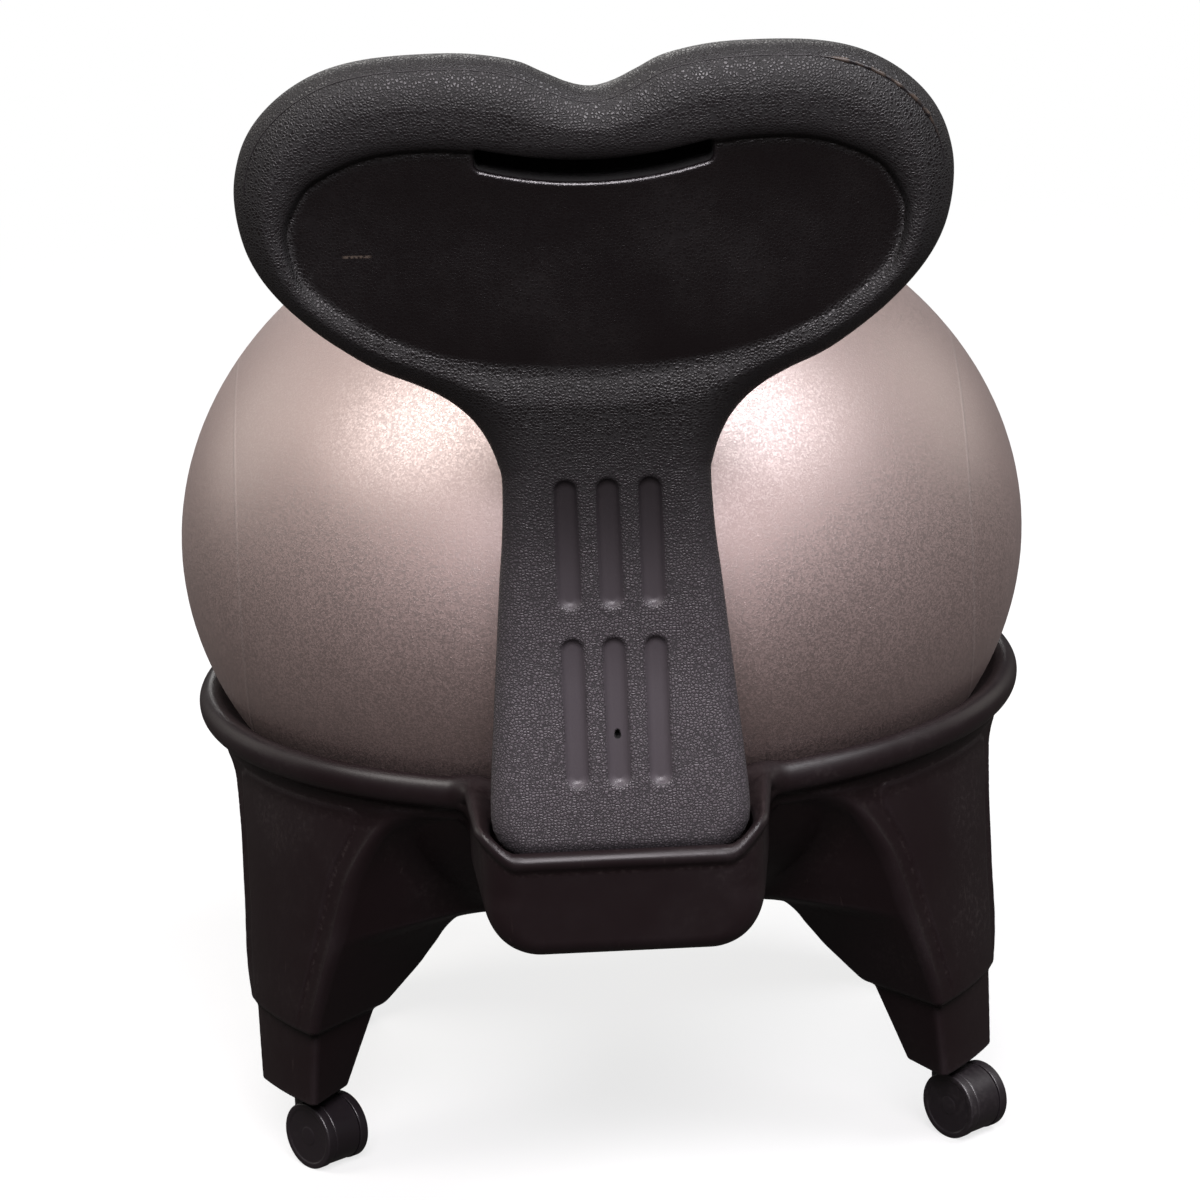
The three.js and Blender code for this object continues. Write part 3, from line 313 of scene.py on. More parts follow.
# Colours and finish of each material. "cover" says how strongly wear tints the base, "dulling" how much
# it roughens it, "mottle" how far the roughness wanders; "shader" holds inputs of the Principled shader
looks = {
    "frame": {
        "base": (0.0078, 0.0036, 0.0044), "dust": (0.032, 0.023, 0.022), "rub": (0.022, 0.017, 0.019),
        "cover": {"Dust": 0.5, "Rub": 0.45, "Scratch": 0.6}, "scratches": 0.7,
        "roughness": 0.45, "mottle": (-0.07, 0.08), "dulling": {"Dust": 0.2, "Rub": -0.1},
        "skin": 1500.0, "gouge": 0.8, "bump": 0.00005, "shader": {"Specular IOR Level": 0.4},
    },
    "back": {
        "base": (0.003, 0.0017, 0.0021), "dust": (0.018, 0.014, 0.014), "rub": (0.016, 0.013, 0.015),
        "cover": {"Dust": 0.32, "Rub": 0.4}, "scratches": 0.3,
        "roughness": 0.35, "mottle": (-0.05, 0.07), "dulling": {}, "shader": {"Specular IOR Level": 0.6},
        "pebbles": (500.0, 900.0), "fineHeight": 0.1, "skin": 1500.0, "skinHeight": 0.08, "bump": 0.00025,
        # The valley colour on the next line is painted shade in the grain's valleys
        "valley": (0.001, 0.0008, 0.001), "valleyShadeCover": 0.7, "valleyDulling": 0.4,
        "recessPolish": 0.14, "bareDulling": 0.1, "bareRange": (0.15, 0.06), "fineRange": (0.05, 0.9),
        "scar": (0.065, 0.047, 0.035), "scarCover": 0.8, "scarScale": 190.0, "scarRange": (0.4, 0.6),
        # The pale colour on the next line is paler rubbed plastic on the post and also a painted highlight
        "pale": (0.13, 0.114, 0.127), "paleCover": (0.2, 0.8), "bareHeight": 0.7,
        # The hole colour on the next line is near black: painted shade inside the hand hold and over the vent
        # hole
        "hole": (0.0006, 0.0004, 0.0005), "ventShadeRange": (0.05, 0.2),
        "vent": {"height": 0.336, "radius": 0.0021, "blur": 0.0003, "stretch": 0.55},
        "scuff": {"colour": (0.09, 0.07, 0.055), "cover": 0.7, "spot": (0.14, 0.638),
                  "along": (0.0095, 0.006), "above": (0.0011, 0.0004), "fleckScale": 620.0,
                  "fleckRange": (0.38, 0.5)},
    },
    "ball": {
        "base": (0.54, 0.42, 0.395), "dark": (0.45, 0.35, 0.33), "flake": (0.76, 0.68, 0.66),
        # The darker colour on the next line, with its height range and cover, is painted shade on the lower
        # ball
        "belowShadeColour": (0.2, 0.14, 0.13), "shadeBelow": (0.24, 0.37), "shadeBelowCover": 0.38,
        "flakeScale": 1050.0, "flakeRange": (0.6, 1.0), "flakeCover": 0.2, "flakeHeight": 0.15,
        "softScale": 420.0, "softRange": (0.42, 0.25), "softHeight": 0.35,
        "broadScale": 4.5, "broadRange": (0.3, 0.75), "dullRange": (0.35, 0.7), "darkCover": 0.3,
        "ridge": 0.232, "ridgeWidth": (0.0012, 0.0002), "ridgeCover": 0.18, "ridgeHeight": 0.9,
        "roughness": 0.56, "sparkleDulling": (0.1, -0.08), "broadDulling": (-0.03, 0.05), "bump": 0.0002,
        "shader": {"Metallic": 0.97, "Coat Weight": 1.0, "Coat Roughness": 0.4, "Coat IOR": 1.8},
    },
    "caster": {
        "base": (0.012, 0.009, 0.011), "dust": (0.05, 0.042, 0.042), "rub": (0.03, 0.026, 0.029),
        "cover": {"Dust": 0.4, "Rub": 0.5, "Scratch": 0.5}, "scratches": 0.8,
        "roughness": 0.36, "mottle": (-0.05, 0.08), "dulling": {"Dust": 0.3}, "skin": 1900.0, "bump": 0.00008,
        "shader": {"Specular IOR Level": 0.6, "Coat Weight": 0.25, "Coat Roughness": 0.18},
    },
    "steel": {
        "base": (0.52, 0.52, 0.53), "dust": (0.3, 0.29, 0.28), "cover": {"Dust": 0.5}, "scratches": 1.0,
        "stain": 0.6, "stainRange": (0.35, 0.7), "roughness": 0.32, "mottle": (-0.08, 0.14), "dulling": {},
        "skin": 2600.0, "bump": 0.00004, "shader": {"Metallic": 1.0},
    },
    "plug": {
        "base": (0.56, 0.54, 0.51), "dust": (0.4, 0.37, 0.34), "cover": {"Dust": 0.8}, "scratches": 0.5,
        "roughness": 0.5, "mottle": (-0.08, 0.1), "dulling": {},
        "skin": 1800.0, "bump": 0.00008, "shader": {},
    },
}


def mask(name):
    return put("ShaderNodeAttribute", out="Fac", attribute_name=name)


def useGroup(group, values):
    return wiresOf(addNode("ShaderNodeGroup", values, node_tree=group))


def startLook(name, v):
    look = bpy.data.materials.new(name)
    look.diffuse_color = (*v["base"], 1)
    openTree(look)
    return look, put("ShaderNodeTexCoord", out="Object")


def wearOf(spot, v):
    return useGroup(handling, {"Vector": spot, "Edge": mask("edge"), "Hollow": mask("hollow"),
                    "Scratches": v["scratches"]})


def wornColour(v, wear, colour):
    for effect, key in (("Dust", "dust"), ("Rub", "rub"), ("Scratch", "dust")):
        if effect in v["cover"]:
            colour = tint(colour, wear[effect] * v["cover"][effect], v[key])
    return colour


def wornRoughness(v, wear):
    low, high = [v["roughness"] + change for change in v["mottle"]]
    dull = ramp(wear["Mottle"], *effects["mottleRange"], low, high)
    for effect, share in v["dulling"].items():
        dull = dull + wear[effect] * share
    return dull


def skinOf(spot, v):
    return useGroup(fineSkin, {"Vector": spot, "Scale": v["skin"]})["Height"]


def endLook(look, v, colour, dull, height):
    shader = addNode("ShaderNodeBsdfPrincipled", {
        "Base Color": (*v["base"], 1), "Roughness": v["roughness"], **v["shader"]})
    bump = put("ShaderNodeBump", {"Height": height, "Distance": v["bump"], "Strength": 1.0})
    for key, wire in (("Base Color", colour), ("Roughness", dull), ("Normal", bump)):
        bench["tree"].links.new(wire.socket, shader.inputs[key])
    addNode("ShaderNodeOutputMaterial", {"Surface": Wire(shader.outputs[0])})
    return look


def makeFramePlastic():
    v = looks["frame"]
    look, spot = startLook("framePlastic", v)
    wear = wearOf(spot, v)
    skin = skinOf(spot, v) - wear["Scratch"] * v["gouge"]
    return endLook(look, v, wornColour(v, wear, v["base"]), wornRoughness(v, wear), skin)


# Painted shade over the vent hole: a small drop-shaped dark spot, drawn out above
def ventShadeMask(spot, vent):
    place = wiresOf(addNode("ShaderNodeSeparateXYZ", {0: spot}))
    rise = place["Z"] - vent["height"]
    rise = calc("MAXIMUM", rise * vent["stretch"], rise * -1.0)
    away = calc("SQRT", rise * rise + place["X"] * place["X"])
    return ramp(away, vent["radius"] + vent["blur"], vent["radius"] - vent["blur"])


def scuffMask(spot, scuff):
    place = wiresOf(addNode("ShaderNodeSeparateXYZ", {0: spot}))
    along = calc("ABSOLUTE", place["X"] - scuff["spot"][0])
    above = calc("ABSOLUTE", place["Z"] - scuff["spot"][1])
    flecks = ramp(noise(spot, scuff["fleckScale"], 2.0), *scuff["fleckRange"])
    return ramp(along, *scuff["along"]) * ramp(above, *scuff["above"]) * flecks


def makeBackPlastic():
    v = looks["back"]
    look, spot = startLook("backPlastic", v)
    wear = wearOf(spot, v)
    grain, rubbed, recess = mask("grain"), mask("rubbed"), mask("recess")
    pebbles, fine = [useGroup(pebbleGrain, {"Vector": spot, "Pebbles per metre": count})["Height"]
                     for count in v["pebbles"]]
    # Painted shade: the valleys between the pebbles are darkened in colour
    valley = (1.0 - pebbles) * grain
    colour = tint(wornColour(v, wear, v["base"]), valley * v["valleyShadeCover"], v["valley"])
    scar = mask("flash") * ramp(noise(spot, v["scarScale"], 3.0), *v["scarRange"])
    colour = tint(colour, scar * v["scarCover"], v["scar"])
    raised = between(grain, v["bareHeight"], pebbles)
    # Painted highlight, partly real rubbing: the lower rear of the post is tinted pale on pebble tops and
    # groove floors
    colour = tint(colour, rubbed * between(raised, *v["paleCover"]), v["pale"])
    # Painted shade: the inside of the hand hold and a spot over the vent hole are coloured near black
    inside = calc("MAXIMUM", mask("cavity"), ventShadeMask(spot, v["vent"]) * ramp(rubbed, *v["ventShadeRange"]))
    colour = tint(colour, inside, v["hole"])
    scuff = scuffMask(spot, v["scuff"]) * recess * v["scuff"]["cover"]
    colour = tint(colour, scuff, v["scuff"]["colour"])
    dull = wornRoughness(v, wear) + valley * v["valleyDulling"] - recess * v["recessPolish"]
    dull = calc("MAXIMUM", dull + ramp(grain, *v["bareRange"], 0.0, v["bareDulling"]), inside)
    height = pebbles * grain + fine * ramp(grain, *v["fineRange"], v["fineHeight"], 0.0)
    return endLook(look, v, colour, dull, height + skinOf(spot, v) * v["skinHeight"])


def makeBallVinyl():
    v = looks["ball"]
    look, spot = startLook("ballVinyl", v)
    flakes = put("ShaderNodeTexVoronoi", {"Vector": spot, "Scale": v["flakeScale"]}, "Color", feature="F1")
    sparkle = put("ShaderNodeSeparateColor", {0: flakes})
    soft, broad = noise(spot, v["softScale"], 3.0, 0.7), noise(spot, v["broadScale"], 4.0, 0.55)
    colour = tint(v["base"], ramp(broad, *v["broadRange"], 0.0, v["darkCover"]), v["dark"])
    colour = tint(colour, ramp(sparkle, *v["flakeRange"], 0.0, v["flakeCover"]), v["flake"])
    colour = tint(colour, ramp(soft, *v["softRange"], 0.0, v["darkCover"]), v["dark"])
    place = wiresOf(addNode("ShaderNodeSeparateXYZ", {0: spot}))
    ridge = ramp(calc("ABSOLUTE", calc("ABSOLUTE", place["X"]) - v["ridge"]), *v["ridgeWidth"])
    colour = tint(colour, ridge * v["ridgeCover"], v["flake"])
    # Painted shade: the ball is darkened towards the bottom
    shadeBelow = ramp(place["Z"], v["shadeBelow"][1], v["shadeBelow"][0]) * v["shadeBelowCover"]
    colour = tint(colour, shadeBelow, v["belowShadeColour"])
    rough, smooth = [v["roughness"] + change for change in v["sparkleDulling"]]
    dull = ramp(sparkle, 0.0, 1.0, rough, smooth) + ramp(broad, *v["dullRange"], *v["broadDulling"])
    height = soft * v["softHeight"] + sparkle * v["flakeHeight"] + ridge * v["ridgeHeight"]
    return endLook(look, v, colour, dull, height)


def makeCasterPlastic():
    v = looks["caster"]
    look, spot = startLook("casterPlastic", v)
    wear = wearOf(spot, v)
    return endLook(look, v, wornColour(v, wear, v["base"]), wornRoughness(v, wear), skinOf(spot, v))


def makeSteel():
    v = looks["steel"]
    look, spot = startLook("zincSteel", v)
    wear = wearOf(spot, v)
    stained = tint(v["base"], ramp(wear["Mottle"], *v["stainRange"], 0.0, v["stain"]), v["dust"])
    return endLook(look, v, wornColour(v, wear, stained), wornRoughness(v, wear), skinOf(spot, v))


def makePlugPlastic():
    v = looks["plug"]
    look, spot = startLook("plugPlastic", v)
    wear = wearOf(spot, v)
    return endLook(look, v, wornColour(v, wear, v["base"]), wornRoughness(v, wear), skinOf(spot, v))


finishes = {
    "frame_plastic": makeFramePlastic(), "back_plastic": makeBackPlastic(), "ball_vinyl": makeBallVinyl(),
    "caster_plastic": makeCasterPlastic(), "steel": makeSteel(), "plug_plastic": makePlugPlastic(),
}
print("finishes made", len(finishes))


# Smooth curve through a table of numbers, without overshoot
def smoothRead(at, xs, ys):
    xs, ys = np.asarray(xs, float), np.asarray(ys, float)
    slope = np.diff(ys) / np.diff(xs)
    tangent = np.zeros(len(xs))
    both = slope[:-1] * slope[1:]
    total = np.where(slope[:-1] + slope[1:] == 0, 1, slope[:-1] + slope[1:])
    tangent[1:-1] = np.where(both > 0, 2 * both / total, 0)
    tangent[0], tangent[-1] = slope[0], slope[-1]
    at = np.clip(at, xs[0], xs[-1])
    k = np.clip(np.searchsorted(xs, at, side="right") - 1, 0, len(slope) - 1)
    width = xs[k + 1] - xs[k]
    t = (at - xs[k]) / width
    return ((2 * t**3 - 3 * t**2 + 1) * ys[k] + (t**3 - 2 * t**2 + t) * width * tangent[k]
            + (3 * t**2 - 2 * t**3) * ys[k + 1] + (t**3 - t**2) * width * tangent[k + 1])


# Points along a smooth line through the given ones
def smoothLine(points, steps, closed=False):
    points = np.asarray(points, float)
    count = len(points)
    line = []
    for i in range(count if closed else count - 1):
        pick = [(i + k) % count if closed else min(max(i + k, 0), count - 1) for k in (-1, 0, 1, 2)]
        a, b, c, d = points[pick]
        for t in np.arange(steps) / steps:
            line.append(0.5 * (2 * b + (c - a) * t + (2 * a - 5 * b + 4 * c - d) * t**2
                               + (3 * b - a - 3 * c + d) * t**3))
    if not closed:
        line.append(points[-1])
    return np.array(line)


# Signed distance to a closed outline, negative inside
def outlineDistance(u, v, outline):
    least = np.full(u.shape, 1e9)
    inside = np.zeros(u.shape, bool)
    for a, b in zip(outline, np.roll(outline, -1, axis=0)):
        side = b - a
        share = np.clip(((u - a[0]) * side[0] + (v - a[1]) * side[1]) / max(side @ side, 1e-12), 0, 1)
        away = (u - a[0] - share * side[0])**2 + (v - a[1] - share * side[1])**2
        least = np.minimum(least, away)
        if a[1] != b[1]:
            crosses = (a[1] > v) != (b[1] > v)
            inside ^= crosses & (u < (v - a[1]) * side[0] / side[1] + a[0])
    return np.where(inside, -1, 1) * np.sqrt(least)


# A table of distances on a flat grid, read back with a smooth or a quick rule
def makeTable(outline, low, high, step):
    us = np.arange(low[0], high[0] + step, step)
    vs = np.arange(low[1], high[1] + step, step)
    u, v = np.meshgrid(us, vs, indexing="ij")
    return {"low": low, "step": step, "values": outlineDistance(u, v, outline).astype(np.float32)}


def readTable(table, u, v, smooth):
    values = table["values"]
    a = (u - table["low"][0]) / table["step"]
    b = (v - table["low"][1]) / table["step"]
    a, b = np.broadcast_arrays(np.clip(a, 1, values.shape[0] - 3), np.clip(b, 1, values.shape[1] - 3))
    i, j = a.astype(np.int32), b.astype(np.int32)
    s, t = (a - i).astype(np.float32), (b - j).astype(np.float32)
    if not smooth:
        return ((1 - s) * ((1 - t) * values[i, j] + t * values[i, j + 1])
                + s * ((1 - t) * values[i + 1, j] + t * values[i + 1, j + 1]))
    weigh = lambda w: (0.5 * (2 * w**2 - w - w**3), 0.5 * (2 - 5 * w**2 + 3 * w**3),
                       0.5 * (w + 4 * w**2 - 3 * w**3), 0.5 * (w**3 - w**2))
    total = 0
    for m, p in zip((-1, 0, 1, 2), weigh(s)):
        row = 0
        for n, q in zip((-1, 0, 1, 2), weigh(t)):
            row = row + q * values[i + m, j + n]
        total = total + p * row
    return total


def mix(a, b, share):
    return a + (b - a) * share


def easeStep(value, low, high):
    share = np.clip((value - low) / (high - low), 0, 1)
    return share * share * (3 - 2 * share)


# Overlap of two distances with its edge rounded by a radius
def roundMax(a, b, radius):
    u, v = np.maximum(radius + a, 0), np.maximum(radius + b, 0)
    return np.minimum(-radius, np.maximum(a, b)) + np.sqrt(u * u + v * v)


# Union of two distances with its inner corner filled by a radius
def roundMin(a, b, radius):
    u, v = np.maximum(radius - a, 0), np.maximum(radius - b, 0)
    return np.maximum(radius, np.minimum(a, b)) - np.sqrt(u * u + v * v)


# How far a slope is felt for, in millimetres
reaches = {"settle": 0.3, "normal": 0.4, "bend": 1.4}


# Skin of a solid given by a distance on a grid: points and four-sided faces
def surfaceNet(field, low, step):
    inside = field < 0
    size = np.array(field.shape) - 1
    full = np.zeros(size, np.uint8)
    for a, b, c in product((0, 1), repeat=3):
        full += inside[a:size[0] + a, b:size[1] + b, c:size[2] + c]
    active = np.array(np.nonzero((full > 0) & (full < 8))).T
    number = np.full(size, -1, np.int32)
    number[tuple(active.T)] = np.arange(len(active))
    total, hits = np.zeros((len(active), 3)), np.zeros(len(active))
    for axis in range(3):
        others = [k for k in range(3) if k != axis]
        for a, b in product((0, 1), repeat=2):
            start = np.zeros(3, int)
            start[others[0]], start[others[1]] = a, b
            stop = start.copy()
            stop[axis] = 1
            fromValue = field[tuple((active + start).T)]
            toValue = field[tuple((active + stop).T)]
            cross = (fromValue < 0) != (toValue < 0)
            share = np.where(cross, fromValue / np.where(cross, fromValue - toValue, 1), 0)
            spot = start + share[:, None] * (stop - start)
            total += np.where(cross[:, None], spot, 0)
            hits += cross
    points = np.asarray(low) + step * (active + total / hits[:, None])
    faces = []
    for axis in range(3):
        b, c = (axis + 1) % 3, (axis + 2) % 3
        here = [slice(None)] * 3
        there = [slice(None)] * 3
        here[axis], there[axis] = slice(0, -1), slice(1, None)
        change = inside[tuple(here)] != inside[tuple(there)]
        edges = np.array(np.nonzero(change)).T
        edges = edges[(edges[:, b] > 0) & (edges[:, c] > 0)]
        edges = edges[(edges[:, b] < size[b]) & (edges[:, c] < size[c])]
        outward = inside[tuple(edges.T)]
        corners = []
        for db, dc in ((0, 0), (-1, 0), (-1, -1), (0, -1)):
            cell = edges.copy()
            cell[:, b] += db
            cell[:, c] += dc
            corners.append(number[tuple(cell.T)])
        quads = np.stack(corners, axis=1)
        quads[~outward] = quads[~outward][:, ::-1]
        faces.append(quads)
    return points, np.concatenate(faces)


def slopeOf(fieldOf, points, reach):
    slopes = []
    for axis in range(3):
        move = np.zeros(3)
        move[axis] = reach
        ahead, behind = (points + move).T, (points - move).T
        slopes.append((fieldOf(*ahead, True) - fieldOf(*behind, True)) / (2 * reach))
    return np.stack(slopes, axis=1)


# Moves points onto the skin where the distance is zero
def settle(fieldOf, points, rounds, most):
    for _ in range(rounds):
        slope = slopeOf(fieldOf, points, reaches["settle"])
        size = np.maximum((slope**2).sum(axis=1), 0.05)
        move = -slope * (fieldOf(*points.T, True) / size)[:, None]
        length = np.linalg.norm(move, axis=1)
        points = points + move * np.minimum(1, most / np.maximum(length, 1e-9))[:, None]
    return points


def meshFrom(name, points, faces):
    mesh = bpy.data.meshes.new(name)
    mesh.vertices.add(len(points))
    mesh.vertices.foreach_set("co", np.asarray(points, np.float32).ravel())
    mesh.loops.add(faces.size)
    mesh.loops.foreach_set("vertex_index", faces.astype(np.int32).ravel())
    mesh.polygons.add(len(faces))
    mesh.polygons.foreach_set("loop_start", np.arange(len(faces), dtype=np.int32) * faces.shape[1])
    mesh.update(calc_edges=True)
    return addObject(name, mesh)


def storeMask(mesh, name, values):
    store = mesh.attributes.new(name, "FLOAT", "POINT")
    store.data.foreach_set("value", values.astype(np.float32))


# How strongly the skin bends: above zero on edges, below zero in hollows
def bendOf(fieldOf, points, reach):
    total = -6 * fieldOf(*points.T, True)
    for axis in range(3):
        move = np.zeros(3)
        move[axis] = reach
        total = total + fieldOf(*(points + move).T, True) + fieldOf(*(points - move).T, True)
    return total / reach**2


# Turns a distance rule into a finished shape: skin, thinning, settling, true normals, wear masks
def mouldShape(fieldOf, placed, sizes, toPlace=None):
    low, high, step = sizes["grid"]
    axes = [np.arange(low[k], high[k] + step, step, dtype=np.float32) for k in range(3)]
    field = fieldOf(axes[0][:, None, None], axes[1][None, :, None], axes[2][None, None, :], False)
    field = np.ascontiguousarray(np.broadcast_to(field, [len(axis) for axis in axes])).astype(np.float32)
    if low[0] == 0:
        field = np.concatenate([field[:0:-1], field])
        low = (-axes[0][-1], low[1], low[2])
    points, faces = surfaceNet(field, low, step)
    draft = meshFrom("draft", toPlace(points) if toPlace else points, faces)
    thin = draft.modifiers.new("thin", "DECIMATE")
    thin.ratio = min(1, sizes["triangles"] / (2 * len(faces)))
    thin.use_collapse_triangulate = True
    mesh = bpy.data.meshes.new_from_object(draft.evaluated_get(bpy.context.evaluated_depsgraph_get()))
    points, faces = readMesh(mesh)
    bpy.data.objects.remove(draft)
    bpy.data.meshes.remove(mesh)
    points = settle(placed, points, 2, step / 2)
    normals = slopeOf(placed, points, reaches["normal"])
    normals /= np.maximum(np.linalg.norm(normals, axis=1), 1e-9)[:, None]
    bend = bendOf(placed, points, reaches["bend"]) * sizes["bendRadius"]
    return {"points": points, "faces": faces, "normals": normals,
            "masks": {"edge": np.clip(bend, 0, 1), "hollow": np.clip(-bend, 0, 1)}}


def readMesh(mesh):
    points = np.empty(3 * len(mesh.vertices), np.float32)
    mesh.vertices.foreach_get("co", points)
    corners = np.empty(len(mesh.loops), np.int32)
    mesh.loops.foreach_get("vertex_index", corners)
    return points.reshape(-1, 3).astype(float), corners.reshape(-1, 3)


# Makes a piece of a shape, turned about the upright axis and moved, and hands it to its body
def pieceFrom(name, shape, body, slot, replaced, turn=0.0, spot=(0, 0)):
    cos, sin = math.cos(turn), math.sin(turn)
    spin = np.array([[cos, sin, 0], [-sin, cos, 0], [0, 0, 1]])
    points = (shape["points"] @ spin + np.array([spot[0], spot[1], 0])) * mm + np.array([0, axisY, 0])
    piece = meshFrom(name, points, shape["faces"])
    mesh = piece.data
    for key, values in shape["masks"].items():
        storeMask(mesh, key, values)
    mesh.shade_smooth()
    mesh.normals_split_custom_set_from_vertices((shape["normals"] @ spin).tolist())
    dress(piece, body, slot, replaced)


def dress(piece, body, slot, replaced):
    piece.data.materials.clear()
    piece.data.materials.append(finishes[slot])
    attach(piece, body)
    for node in replaced:
        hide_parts(node)
    print(piece.name, len(piece.data.polygons), "faces")


# Seat frame: ring, bowl, legs and socket tub in one moulding
frameSizes = {
    "ballRadius": 276, "ballHalfHeight": 228, "ballCentre": 376,
    "lipCrest": 284.5, "lipUnder": 263.5, "lipInner": 252, "ringRadius": 270.5, "ringJoin": 11,
    "seatRadius": 246, "seatGap": 0.6, "bowlHole": 167, "bowlDepth": 30, "bowlRelief": 14,
    "neckRadius": 256, "neckHeight": 7, "neckInset": 1.5, "lipFoot": 1.4, "holeRound": 4,
    "spaceClear": 1.5, "spaceTop": 520, "seatRound": 1,
    "ledge": 99, "legTop": 262, "legRear": 278, "legSide": 266.5, "legInner": 203, "legCorner": 6,
    "panelRelief": 1.9, "panelInset": 16, "panelSideInset": 12.8, "panelTop": 254.5, "panelEdge": 4.2,
    "panelCorner": 6, "panelTopCorner": 2.5, "panelFade": 0.65,
    "beadHeight": 1.5, "beadWidth": 3.6, "beadOffset": 4, "beadFade": (0.02, 0.2),
    "footBottom": 50, "footCorner": 5, "footRound": 1.6, "footOverlap": 8, "footJoin": 2.5, "ledgeRound": 4,
    "sleeveRadius": 8, "sleeveTop": 88.3, "stemSpot": (207.26, 139.8),
    "tubHalf": 84, "tubFlare": 9, "tubRear": 352, "tubFront": 240, "tubBase": 201,
    "rimTop": 267, "rimRise": 3, "rimCorner": 14, "rimReach": 3.5, "rimDepth": 11,
    "rimSweep": (64, 90), "rimStep": 2, "rimRound": 5.4, "rimFillet": 2.5,
    "tubSideRadius": 34, "tubRearRadius": 10, "tubPlanRadius": 25, "cornerRise": (6, 42), "tubJoin": 4,
    "flareLean": 0.997,  # turns the offset of the flared walls into a true distance
    "pocketHalf": 79.5, "pocketThick": 24.2, "pocketFloor": 257.4, "pocketRadius": 16, "pocketRound": 2.2,
    "postMiddle": 322, "tenonHalf": 63.2, "tenonThick": 20.2, "tenonEnd": 213.7,
    "boltSpot": 28, "headHole": 10.8, "headTop": 209, "shankHole": 4.3, "shankTop": 216,
    "table": ((140, 150), (300, 300), 0.5), "wallStep": 0.5,
    "grid": ((0, -275, 46), (274, 360, 288), 1.7), "triangles": 192000, "bendRadius": 5.0,
}
legRows = np.array([  # share of height, rear and side angles outside, the same inside, flare, depth
    [0, 46, 66, 49.4, 63, 1, 1],
    [0.08, 45.3, 66.7, 48.3, 63.8, 0.96, 1.3],
    [0.166, 44.4, 67.1, 46.8, 65, 0.89, 1.58],
    [0.252, 43.5, 67.4, 44, 67.4, 0.83, 1.7],
    [0.35, 42.5, 67.8, 38.5, 72.7, 0.74, 1.71],
    [0.423, 41.8, 68.3, 31, 79, 0.66, 1.64],
    [0.497, 41.1, 68.8, 31, 79, 0.59, 1.54],
    [0.65, 39.5, 69.8, 33.6, 76, 0.44, 1.04],
    [0.755, 37.6, 71.2, 34.4, 74.9, 0.31, 0.76],
    [0.847, 35.3, 73, 33.6, 74.9, 0.18, 0.56],
    [0.908, 32.8, 75.3, 31.8, 76.2, 0.09, 0.44],
    [0.945, 30.3, 78.5, 29.8, 79.2, 0.05, 0.38],
    [0.975, 26, 84, 25.8, 84.2, 0.02, 0.35],
    [1, 24, 86, 23.8, 86.2, 0, 0.32],
])
footRows = np.array([  # height, rear and side angles outside, the same inside, reaches, depth
    [44, 47.3, 62.4, 51.1, 59.3, 275.5, 269.4, 234.5],
    [50, 47.3, 62.6, 51, 59.5, 275, 269, 232],
    [72, 47.3, 63.6, 50.6, 60.6, 273.2, 267.2, 221.6],
    [99, 47.3, 64.8, 50, 62, 271, 265, 209],
    [110, 47.3, 65.2, 49.8, 62.4, 270.5, 264.5, 204],
])


def underBall(radius):
    across = np.clip(radius / frameSizes["ballRadius"], 0, 1)
    return frameSizes["ballCentre"] - frameSizes["ballHalfHeight"] * np.sqrt(1 - across**2)


# The lip's outline as shares of its width and height
lipShares = [
    (0, 0.64), (0.29, 0.905), (0.59, 1), (0.85, 0.88), (1, 0.62), (0.97, 0.31), (0.79, 0.095), (0.47, 0),
]


def ringTables():
    s = frameSizes
    shares = np.linspace(0, 1, 26)**1.4  # stations stand closer together near the lip
    radii = mix(s["seatRadius"], s["bowlHole"], shares)
    inside = np.stack([radii, underBall(radii) - mix(s["seatGap"], s["bowlRelief"], np.sqrt(shares))], axis=1)
    outside = np.stack([radii, underBall(radii) - s["bowlDepth"]], axis=1)
    lip = [(mix(s["lipInner"], s["ringRadius"], a), mix(s["lipUnder"], s["lipCrest"], b))
           for a, b in lipShares]
    chain = smoothLine([inside[0], *lip, (s["neckRadius"], s["lipUnder"] - s["lipFoot"])], 6)
    neck = (s["neckRadius"] - s["neckInset"], s["lipUnder"] - s["neckHeight"])
    edge, floor, soft = s["bowlHole"], outside[-1][1], s["holeRound"]
    hole = [(edge + soft, floor), (edge + 0.3 * soft, floor + 0.3 * soft), (edge, floor + soft)]
    outline = np.array([*inside[::-1], *chain[1:], neck, *outside[:-2], *hole])
    wall = [(r + s["spaceClear"], z) for r, z in [*inside[::-1], *lip[:3]]]
    space = np.array([(0, inside[-1][1]), *wall, (wall[-1][0], s["spaceTop"]), (0, s["spaceTop"])])
    return [makeTable(shape, *s["table"]) for shape in (outline, space)]


def wallTable(heights, rear, side, deep, rows):
    place = lambda radius, angle: (radius * np.sin(np.radians(angle)), radius * np.cos(np.radians(angle)))
    columns = {"rear": rear, "side": side, "deep": deep, "rearAngle": rows[0], "sideAngle": rows[1]}
    for key, outer, inner, outerAngle, innerAngle, sign in (
            ("rearWall", rear, deep, rows[0], rows[2], 1), ("sideWall", side, deep, rows[1], rows[3], -1)):
        ox, oy = place(outer, outerAngle)
        ix, iy = place(inner, innerAngle)
        length = np.hypot(ox - ix, oy - iy)
        nx, ny = -sign * (oy - iy) / length, sign * (ox - ix) / length
        drift = np.gradient(ox, heights) * nx + np.gradient(oy, heights) * ny
        steep = 1 / np.sqrt(1 + drift**2)
        columns[key] = (nx * steep, ny * steep, -(nx * ix + ny * iy) * steep)
    return heights, columns


